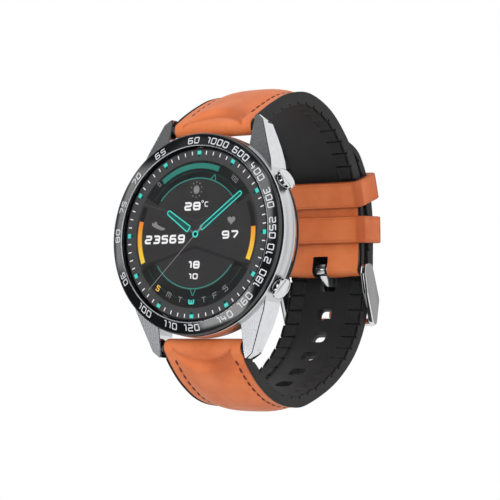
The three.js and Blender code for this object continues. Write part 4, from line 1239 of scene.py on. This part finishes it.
class Padding:
    """Height and darkening of the leather face at a width and a distance past the bar. The
    darkening is painted shade in the crease, stitch grooves and pad slope, plus darker rims.
    Grooves are the stretches that the stitches sink into."""

    def __init__(self, fade_end, grooves):
        self.fade_end = fade_end
        self.grooves = grooves

    def past_arch(self, side, s):
        """Distance past the low arch where the padding starts."""
        return s - ARCH_START - ARCH_RISE * max(0, 1 - (side / 8.2) ** 2)

    def height(self, x, s):
        x = abs(x)
        past = self.past_arch(x, s)
        crown = max(0, 1 - (x / 8.1) ** 3.2)
        fade = 1 - smooth((s - PAD_FADE) / (self.fade_end - PAD_FADE))
        lift = PAD_HEIGHT * crown * smooth(past / 2.4) * (0.22 + 0.78 * fade)
        crease = 0.22 * bell(past + 0.05, 0.32) if x < 8.2 else 0
        edge = -0.20 * smooth((x - 10.2) / 0.35) - 0.04 * smooth((x - 9.0) / 1.2)
        return lift + edge - 0.2 * bell(x - STITCH_X, 0.24) * self.stitched(s) - crease

    def stitched(self, s):
        return max(smooth((s - start) / 0.8) * (1 - smooth((s - end) / 0.8))
                   for start, end in self.grooves)

    def burn(self, x, s):
        side = abs(x)
        past = self.past_arch(side, s)
        # Painted shade along the stitch groove, in the crease at the arch and on the pad's
        # slope (stronger towards +X); the last term darkens the rims.
        groove = 0.10 * bell(side - STITCH_X, 0.3) * self.stitched(s)
        crease = 0.30 * bell(past - 0.2, 0.5) if side < 8.2 else 0
        slope = 0.42 * bell(past - 1.8, 2.4) * smooth((x + 2) / 8)
        slope = slope if side < 8.0 and past > 0 else 0
        return min(1, groove + crease + slope + 0.30 * smooth((side - 10.15) / 0.35))


def evenly(start, end, step):
    count = max(1, round((end - start) / step))
    return [start + (end - start) * i / count for i in range(count + 1)]


def set_burn(piece, shade_and_rim_values):
    # The leather's painted shade and darker rims, one value a point.
    layer = piece.data.attributes.new("burn", "FLOAT", "POINT")
    layer.data.foreach_set("value", shade_and_rim_values)


def leather_piece(prefix, route, padding, thickness, width):
    """The leather of a strap half, with edge paint on its rims and its flesh side."""
    sections, shade_and_rim_values = [], []
    fine_end = KNUCKLE_LENGTH + 12
    for distance in evenly(0, fine_end, 0.3) + evenly(fine_end, route.length, 0.6)[1:]:
        s = distance - KNUCKLE_LENGTH
        under = route.place(distance, -thickness(s))
        top = [(x * width(s), *route.place(distance, padding.height(x, s))) for x in ACROSS]
        below = [(x * width(s), *under) for x in reversed(ACROSS[::3])]
        sections.append(top + below)
        # Painted shade and darker rims on the face; the underside points get a fixed painted
        # shade.
        shade_and_rim_values += [padding.burn(x, s) for x in ACROSS] + [UNDER_PAINTED_SHADE] * len(below)
    piece = new_piece(f"{prefix}_strap_leather_face", loft(sections), [LEATHER, EDGE_PAINT],
                      f"{prefix}_strap", 40, [f"{prefix}_strap_leather"])
    set_burn(piece, shade_and_rim_values)
    for i, face in enumerate(piece.data.polygons):
        face.material_index = 0 if i % len(sections[0]) < len(ACROSS) - 1 else 1
    return piece


def stitch(route, padding, x, start):
    """One stitch of thread: a short rounded bar laid in the groove."""
    length, radius = STITCH["length"], STITCH["radius"]
    sections = []
    for t in (0.0, 0.08, 0.25, 0.5, 0.75, 0.92, 1.0):
        distance = KNUCKLE_LENGTH + start + length * t
        swell = math.sqrt(max(0.02, 1 - (2 * t - 1) ** 4))
        lift = padding.height(x, start + length * t) + 0.14 * swell - 0.02
        centre = route.place(distance, lift)
        above = route.place(distance, lift + 1) - centre
        middle = x + math.copysign(0.10, x) * (t - 0.5)
        sections.append([(middle + u * radius * 1.25 * swell,
                          *(centre + above * v * radius * swell)) for u, v in unit_circle(8)])
    return loft(sections)


def stitch_piece(prefix, route, padding, spans):
    stitches = []
    for x in (STITCH_X, -STITCH_X):
        for start, end in spans:
            count = math.ceil((end - start - STITCH["length"]) / STITCH["pitch"])
            stitches += [stitch(route, padding, x, start + i * STITCH["pitch"])
                         for i in range(count)]
    new_piece(f"{prefix}_strap_stitches", merged(*stitches), THREAD, f"{prefix}_strap",
              60)


# ---------------------------------------------------------------- strap silicone

LIP_LEVEL = 0.02
TREAD_PITCH = 4.0
TREAD_GROOVE = 0.3
TREAD_DEPTH = 0.8
TREAD_TILT = 0.42
TREAD_WALL = 0.07
LINER_START = 1.6
LINER_ACROSS = mirrored((2.5, 4.6, 5.8, 6.3, 6.5, 6.9, 7.1, 8.4, 10.2, 10.28, 10.58, 10.66,
                         10.8, 10.92, STRAP_HALF_WIDTH))
LIP_XS = (LEATHER_HALF_WIDTH + 0.08, 10.9)
LINER_TOP = mirrored((5.0, LEATHER_HALF_WIDTH + 0.06, *LIP_XS, STRAP_HALF_WIDTH))
TAIL_TIP = 7.0
TANG_HOLE = {"width": 4.6, "length": 5.3, "lean": 45}
TANG_HOLE_Z = -5.9
PLAIN_HOLE = {"width": 4.2, "length": 3.1, "lean": 0}
HOLE_CORNER = 1.25
FIRST_HOLE = 8.0
HOLE_PITCH = 6.9
HOLE_COUNT = 5
CORE_HALF_WIDTH = 10.75
EYE_OUTSIDE = [(1.6, 0.12), (1.6, 0.42), (1.32, 0.5)]


def tread_recess(x, groove, share):
    """How far the inner face is cut away at a width, in or between the cross grooves. Each
    block is low at its lug end and rises to its buckle end."""
    x = abs(x)
    return max(0.62 * (1 - smooth((x - 6.4) / 0.7)),
               0.62 if 10.27 < x < 10.6 else 0.0,
               0.2 * smooth((x - 10.75) / 0.25),
               TREAD_DEPTH * groove if x > 6.7 else 0.0,
               TREAD_TILT * (1 - share) if x > 7.0 else 0.0)


def block_stations(start, end):
    return [(d, 0, (d - start) / (end - start)) for d in evenly(start, end, 0.9)]


def liner_stations(start, end):
    """Distances along a liner, each with 1 inside a cross groove and its share of a block."""
    stations = []
    groove = start + TREAD_PITCH * 0.6
    while groove < end - TREAD_PITCH * 0.4:
        left, right = groove - TREAD_GROOVE, groove + TREAD_GROOVE
        stations += block_stations(start, left - TREAD_WALL) + [(left, 1, 1), (right, 1, 0)]
        start = right + TREAD_WALL
        groove += TREAD_PITCH
    return stations + block_stations(start, end)


def silicone_piece(prefix, curve, end, depth, under, width, taper):
    """The silicone half under the leather: lips beside the leather, tread inside."""
    def top_level(x, distance):
        if abs(x) in LIP_XS:
            return LIP_LEVEL
        return LIP_LEVEL - 0.15 if abs(x) == STRAP_HALF_WIDTH else -under(distance)

    sections = []
    for distance, groove, share in liner_stations(LINER_START, end):
        scale, thin = width(distance), taper(distance)
        section = [(x * scale, *curve.place(distance, top_level(x, distance)))
                   for x in LINER_TOP]
        section += [
            (x * scale, *curve.place(distance, (tread_recess(x, groove, share) - depth) * thin))
            for x in reversed(LINER_ACROSS)]
        sections.append(section)
    return new_piece(f"{prefix}_strap_silicone", loft(sections), SILICONE, f"{prefix}_strap",
                     30, [f"{prefix}_strap_liner"])


def hole_cutter(distance, width, length, lean):
    """A rounded block through the lower strap, leaning along it towards the tail."""
    outline = rectangle(width / 2, -length / 2, length / 2, HOLE_CORNER, 6)
    centre = LOWER_CURVE.place(distance, -LOWER_DEPTH / 2)
    along = LOWER_CURVE.direction(distance)
    normal, slope = Vector((-along.y, along.x)), math.tan(math.radians(lean))
    return loft([[(p.x, *(centre + along * (p.y + level * slope) + normal * level))
                  for p in outline] for level in (-6, -2.2, 2.2, 6)])


def strap_holes():
    curve = LOWER_CURVE
    middle = [i for i, mark in enumerate(curve.marks) if 0.5 < mark / curve.length < 0.9]
    tang = curve.marks[min(middle, key=lambda i: abs(curve.points[i].y - TANG_HOLE_Z))]
    plain = [hole_cutter(tang - FIRST_HOLE - i * HOLE_PITCH, **PLAIN_HOLE)
             for i in range(HOLE_COUNT)]
    return merged(hole_cutter(tang, **TANG_HOLE), *plain)


def tail_width(distance):
    """The tail narrows to a rounded tip over its last few millimetres."""
    left = min(LOWER_CURVE.length - distance, TAIL_TIP)
    return 0.35 + 0.65 * math.sqrt(max(0, 1 - (1 - left / TAIL_TIP) ** 2))


def bar_window(z):
    """The slot in a knuckle that the release lever moves in."""
    low, high = (z - 1.2, z + 0.9) if z > 0 else (z - 0.9, z + 1.2)
    outline = rounded([(5.2, low), (9.3, low), (9.3, high), (5.2, high)], 0.4, 3)
    return plate(outline, BAR_Y - 0.2, BAR_Y + 6, 0.05, front_view)


def tang_slot():
    outline = rectangle(2.1, BUCKLE_Z - 4, BUCKLE_Z + 3.0, 0.3, 3)
    return plate(outline, BUCKLE_Y - 2.9, BUCKLE_Y + 4, 0.05, front_view)


def knuckle_core(prefix, z):
    """The silicone eye that the spring bar passes through."""
    half = STRAP_HALF_WIDTH
    near = [(radius, rise - half) for radius, rise in EYE_OUTSIDE]
    far = [(radius, half - rise) for radius, rise in reversed(EYE_OUTSIDE)]
    profile = [(1.1, -half), (1.45, -half), *near, *far, (1.45, half), (1.1, half)]
    core = new_piece(f"{prefix}_strap_eye", moved(turned(profile, 40), along_bar(z)), SILICONE,
                     f"{prefix}_strap")
    boolean(core, bar_window(z))


def build_strap(prefix, z, curve, route, padding, spans, depth, rises, end, width, taper,
                holes):
    """One strap half: leather, stitches and silicone. Rises are how much the leather and its
    seat deepen past the bar."""
    leather_rise, seat_rise = rises

    def leather_depth(s):
        return (LEATHER_THIN + leather_rise * smooth((s - 0.5) / 3)) * taper(s)

    def seat_depth(distance):
        return (SEAT_THIN + seat_rise * smooth((distance - 0.5) / 3)) * taper(distance)

    face = leather_piece(prefix, route, padding, leather_depth, width)
    boolean(face, bar_window(z), sharp=40, finish=EDGE_PAINT)
    boolean(face, holes, sharp=40, finish=EDGE_PAINT)
    stitch_piece(prefix, route, padding, spans)
    body = silicone_piece(prefix, curve, end, depth, seat_depth, width, taper)
    boolean(body, bar_window(z), sharp=30)
    if prefix == "lower":
        boolean(body, holes, sharp=30)


def turn_back_core(start, end):
    """The dark filling between the two leather leaves at the buckle end."""
    half = CORE_HALF_WIDTH
    corners = ((-half, -1.3), (half, -1.3), (half, -1.95), (-half, -1.95))
    sections = [[(x, *UPPER_CURVE.place(distance, out)) for x, out in corners]
                for distance in evenly(start, end, 1.2)]
    new_piece("upper_strap_turn_core", loft(sections), SILICONE, "upper_strap",
              30)


def build_upper_strap():
    length = UPPER_CURVE.length
    turn = length * TURN_BACK_SHARE
    start, end = UPPER_STITCHES
    build_strap("upper", BAR_Z, UPPER_CURVE, upper_leather_route(),
                Padding(UPPER_PAD_END, [(start - GROOVE_LEAD, end)]), [UPPER_STITCHES],
                UPPER_DEPTH, UPPER_RISES, turn - 0.3, lambda s: 1, lambda s: 1, tang_slot())
    turn_back_core(turn - 0.25, length * LEATHER_END_SHARE - 5.2)
    knuckle_core("upper", BAR_Z)


def build_lower_strap():
    length = LOWER_CURVE.length
    start, end = LOWER_STITCHES
    tail = tuple(length - left for left in TAIL_STITCHES_LEFT)
    build_strap("lower", -BAR_Z, LOWER_CURVE, lower_leather_route(),
                Padding(LOWER_PAD_END, [(start - GROOVE_LEAD, end), tail]),
                [LOWER_STITCHES, tail], LOWER_DEPTH, LOWER_RISES, length - 0.15, tail_width,
                lambda s: tail_taper(length - s), strap_holes())
    knuckle_core("lower", -BAR_Z)


# ---------------------------------------------------------------- keepers

KEEPER_WALL = 1.35
KEEPER_SIDE_GAP = 0.42
KEEPER_DEPTH_GAP = 0.57
FREE_KEEPER = {"share": 0.738, "width": 6.4}
FIXED_KEEPER = {"share": 0.859, "width": 6.6}
# Half of a keeper's section from its middle to its rim: (share of width, share of wall).
KEEPER_FACE = [(0.36, 0.49), (0.40, 0.47), (0.45, 0.5), (0.485, 0.42), (0.5, 0.25),
               (0.5, -0.32), (0.47, -0.5)]


def dense(path, step):
    """A closed line with long straight stretches divided."""
    result = []
    for a, b in zip(path, path[1:] + path[:1]):
        pieces = max(1, math.ceil((b - a).length / step))
        result += [a.lerp(b, i / pieces) for i in range(pieces)]
    return [p for i, p in enumerate(result) if (p - result[i - 1]).length > 1e-4]


def keeper(name, body, share, width):
    """A leather loop with softly crowned faces and darker rims, and painted shade along its
    crease lines and round its bends.
    """
    half = STRAP_HALF_WIDTH + KEEPER_SIDE_GAP + KEEPER_WALL / 2
    inner = -(UPPER_DEPTH + KEEPER_DEPTH_GAP + KEEPER_WALL / 2)
    outer = LAYER_GAP + LOWER_DEPTH + KEEPER_DEPTH_GAP + KEEPER_WALL / 2
    path = dense(rectangle(half, inner, outer, 1.5, 8), 0.8)
    centre = UPPER_CURVE.spot(UPPER_CURVE.length * share)
    along = UPPER_CURVE.direction(UPPER_CURVE.length * share)
    out = Vector((-along.y, along.x))
    profile = [*[(-u, v) for u, v in reversed(KEEPER_FACE)][1:], (0.0, 0.5), *KEEPER_FACE,
               (-0.47, -0.5)]
    sections, shade_and_rim_values = [], []
    for i, point in enumerate(path):
        tangent = (path[(i + 1) % len(path)] - path[i - 1]).normalized()
        normal = Vector((tangent.y, -tangent.x))
        bend = smooth(4 * min(abs(tangent.x), abs(tangent.y)))
        section = []
        for u, v in profile:
            flat = point + normal * (v * KEEPER_WALL)
            section.append((flat.x, *(centre + along * (u * width) + out * flat.y)))
            # Darker rims, painted shade along the crease lines, and painted shade round the
            # outer face's bends.
            rim = 0.6 if abs(u) > 0.47 else 0.3 if abs(abs(u) - 0.40) < 0.02 else 0.05
            shade_and_rim_values.append(max(rim, 0.55 * bend if v > 0 else 0))
        sections.append(section)
    piece = new_piece(f"{name}_loop", loft(sections, True), [LEATHER, EDGE_PAINT], body,
                      50, [name])
    set_burn(piece, shade_and_rim_values)


# ---------------------------------------------------------------- buckle

CROSS_Y, CROSS_Z = BUCKLE_Y + 4.7, BUCKLE_Z - 12.6
CROSS_PROFILE = [(0, -12.2), (0.9, -12.2), (1.1, -11.9), (1.1, 11.9), (0.9, 12.2), (0, 12.2)]
ARM_INNER_X = 11.6
AXLE_INSET = 0.4
# Outlines seen from the side, from the buckle bar or from the cross bar (y, z).
ARM_TOP = [(-1.6, 1.2), (-1.8, -1.2), (-0.2, -6.0)]
ARM_FOOT = [(-1.6, -0.4), (-0.4, -1.1), (0.2, 0), (0.9, 5.6)]
ARM_BACK = [(2.6, -1.0), (1.2, 1.5)]
TANG_EYE = [(0.9, -1.3), (-0.9, -1.35), (-1.5, 0), (-0.9, 1.35), (0.5, 1.5), (1.6, 0.3),
            (4.7, -4.6)]
TANG_TIP = [(2.3, 4.4), (2.4, -1.3), (1.4, -1.4), (1.4, 3.9)]
TANG_BACK = [(3.9, -5.4)]


def from_bar(points):
    return [(BUCKLE_Y + y, BUCKLE_Z + z) for y, z in points]


def from_cross(points):
    return [(CROSS_Y + y, CROSS_Z + z) for y, z in points]


def across_at(y, z):
    """Places a solid built along +Y across the strap."""
    return lambda p: (p.y, y + p.x, z + p.z)


def build_buckle():
    arm = rounded(from_bar(ARM_TOP) + from_cross(ARM_FOOT) + from_bar(ARM_BACK), 1.6, 6)
    tang = rounded(from_bar(TANG_EYE) + from_cross(TANG_TIP) + from_bar(TANG_BACK), 0.55, 5)
    right, left = [plate(arm, low, high, 0.32, side_view) for low, high in (
        (ARM_INNER_X, BUCKLE_HALF_WIDTH), (-BUCKLE_HALF_WIDTH, -ARM_INNER_X))]
    hoop_piece = new_piece("buckle_hoop", right, [POLISHED, SATIN], "buckle_frame",
                           replaces=["buckle_frame"])
    boolean(hoop_piece, left, "UNION")
    boolean(hoop_piece, moved(turned(CROSS_PROFILE, 40), across_at(CROSS_Y, CROSS_Z)), "UNION")
    for face in hoop_piece.data.polygons:
        face.material_index = 1 if abs(face.normal.x) > 0.95 else 0
    new_piece("buckle_pin", plate(tang, TANG_LOW.x, TANG_HIGH.x, 0.18, side_view), POLISHED,
              "buckle_tang", replaces=["buckle_tang"])
    half = BUCKLE_HALF_WIDTH - AXLE_INSET
    axle = moved(turned(rod(AXLE_RADIUS, -half, half), 32), across_at(BUCKLE_Y, BUCKLE_Z))
    new_piece("buckle_axle", axle, MACHINED, "upper_strap",
              replaces=["buckle_bar"])


# ---------------------------------------------------------------- inner parts

INNER_MATERIALS = {
    "glass_seal": RUBBER, "rear_gasket": RUBBER, "button_seal": RUBBER,
    "main_board": CIRCUIT, "sensor_board": CIRCUIT,
    "processor_can": TINPLATE, "motor_can": TINPLATE, "motor_lid": TINPLATE,
    "button_flex": COPPER, "battery": FOIL, "pulse_led": LENS,
    "inner_frame": BLACK_PLASTIC, "radio_module": BLACK_PLASTIC, "photodiode": BLACK_PLASTIC,
    "button_switch": BLACK_PLASTIC,
}


def dress_inner_parts():
    """A procedural finish for every CAD node that stays as it is."""
    for name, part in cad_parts.items():
        if part.hide_render:
            continue
        chosen = [finish for key, finish in INNER_MATERIALS.items() if key in name]
        part.data.materials.clear()
        part.data.materials.append(chosen[-1] if chosen else MACHINED)


# ---------------------------------------------------------------- studio

CAMERA_AZIMUTH = 33.883
CAMERA_ELEVATION = -6.313
CAMERA_ROLL = 2.615
CAMERA_PLACE = (259.53, -374.65, -52.50)
CAMERA_LENS = 144.15
FLOOR_SIZE = 1000
FLOOR_Z = -95
# Each lamp's place in metres, its size and its power.
LAMPS = {
    "key_light": ((-0.7, -0.9, 0.8), 0.8, 4.5),
    "fill_light": ((0.55, -0.75, 0.0), 0.6, 6.5),
    "top_light": ((0.1, -0.1, 1.1), 0.9, 1.0),
}
AIM = Vector((0, 0.02, 0))
# The studio as polished parts see it, as soft panels: (azimuth, elevation, half width, half
# height, brightness). Azimuth 0 faces the dial and 90 is on the 3 o'clock side, in degrees.
BASE_LIGHT = 1.12
DIFFUSE_LIGHT = 0.68
PANELS = [
    (-34, 8, 50, 46, -1.10), (-34, 33, 20, 6, 0.33), (-8, 18, 9, 14, 2.7),
    (-21, -18.5, 13, 8, 4.6), (-66, 11, 9, 14, 2.4), (122, 0, 9, 60, -0.55),
    (170, 0, 7, 18, -0.80), (60, 45, 24, 14, -0.70), (70, -30, 10, 16, -0.70),
]
PANEL_EDGES = (0.72, 1.18)


def build_camera():
    azimuth, elevation = math.radians(CAMERA_AZIMUTH), math.radians(CAMERA_ELEVATION)
    roll = math.radians(CAMERA_ROLL)
    back = Vector((math.sin(azimuth) * math.cos(elevation),
                   -math.cos(azimuth) * math.cos(elevation), math.sin(elevation)))
    right = Vector((math.cos(azimuth), math.sin(azimuth), 0))
    up = back.cross(right)
    turn = Matrix((right * math.cos(roll) + up * math.sin(roll),
                   up * math.cos(roll) - right * math.sin(roll), back)).transposed()
    data = bpy.data.cameras.new("camera")
    data.lens = CAMERA_LENS
    data.sensor_width = 36
    data.clip_start = 0.01
    data.clip_end = 20
    camera = bpy.data.objects.new("camera", data)
    bpy.context.scene.collection.objects.link(camera)
    camera.matrix_world = Matrix.Translation(Vector(CAMERA_PLACE) * MM) @ turn.to_4x4()
    bpy.context.scene.camera = camera


def build_floor():
    made, _ = new_tree("pale_floor")
    finish_with(made, {"Base Color": (0.86, 0.86, 0.86, 1), "Roughness": 0.8})
    corners = [(x * FLOOR_SIZE, y * FLOOR_SIZE, FLOOR_Z)
               for x, y in ((-1, -1), (1, -1), (1, 1), (-1, 1))]
    floor = mesh_object("floor", (corners, [(0, 1, 2, 3)]), [made])
    floor.visible_glossy = False


def build_lamps():
    for name, (place, size, power) in LAMPS.items():
        data = bpy.data.lights.new(name, "AREA")
        data.shape = "DISK"
        data.size = size
        data.energy = power
        lamp = bpy.data.objects.new(name, data)
        lamp.visible_glossy = False
        bpy.context.scene.collection.objects.link(lamp)
        lamp.location = place
        lamp.rotation_euler = (AIM - Vector(place)).to_track_quat("-Z", "Y").to_euler()


def inside(tree, angle, centre, half):
    """1 where an angle is within half of a centre and 0 outside, with a soft edge."""
    away = calculate(tree, "SUBTRACT", angle, math.radians(centre))
    start, end = [math.radians(half * share) for share in PANEL_EDGES]
    return add_node(tree, "ShaderNodeMapRange", {
        "Value": calculate(tree, "ABSOLUTE", away), "From Min": start, "From Max": end,
        "To Min": 1, "To Max": 0}, interpolation_type="SMOOTHSTEP").outputs["Result"]


def build_world():
    """A white studio for the camera, with soft bright and dark panels in reflections."""
    world = bpy.data.worlds.new("studio")
    bpy.context.scene.world = world
    world.use_nodes = True
    tree = world.node_tree
    tree.nodes.clear()
    place = add_node(tree, "ShaderNodeTexCoord", {})
    x, y, z = add_node(tree, "ShaderNodeSeparateXYZ",
                       {"Vector": place.outputs["Generated"]}).outputs
    azimuth = calculate(tree, "ARCTAN2", x, calculate(tree, "MULTIPLY", y, -1))
    elevation = calculate(tree, "ARCSINE", z)
    total = BASE_LIGHT
    for centre_a, centre_e, half_a, half_e, brightness in PANELS:
        share = calculate(tree, "MULTIPLY", inside(tree, azimuth, centre_a, half_a),
                          inside(tree, elevation, centre_e, half_e))
        total = calculate(tree, "MULTIPLY_ADD", share, brightness, total)
    light = add_node(tree, "ShaderNodeBackground", {"Strength": total})
    rays = add_node(tree, "ShaderNodeLightPath", {})
    shader = light.outputs["Background"]
    for ray, strength in (("Is Diffuse Ray", DIFFUSE_LIGHT), ("Is Camera Ray", 1.0)):
        plain = add_node(tree, "ShaderNodeBackground",
                         {"Color": (1, 1, 1, 1), "Strength": strength})
        shader = add_node(tree, "ShaderNodeMixShader", {
            0: rays.outputs[ray], 1: shader, 2: plain.outputs["Background"]}).outputs[0]
    add_node(tree, "ShaderNodeOutputWorld", {"Surface": shader})


# ---------------------------------------------------------------- the whole scene

SIDES = (("upper", 1), ("lower", -1))

bpy.context.scene.view_settings.view_transform = "Standard"
build_camera()
build_floor()
build_world()
build_lamps()
build_case()
build_bezel()
build_numerals()
build_glass()
build_screen()
for side, sign in SIDES:
    build_button(side, sign * BUTTON_ANGLE)
for side, sign in SIDES:
    build_button_spring(side, sign * BUTTON_ANGLE)
build_case_back()
for side, sign in SIDES:
    build_spring_bar(side, sign * BAR_Z)
build_upper_strap()
build_lower_strap()
keeper("free_keeper", "free_keeper", **FREE_KEEPER)
keeper("fixed_keeper", "upper_strap", **FIXED_KEEPER)
build_buckle()
dress_inner_parts()
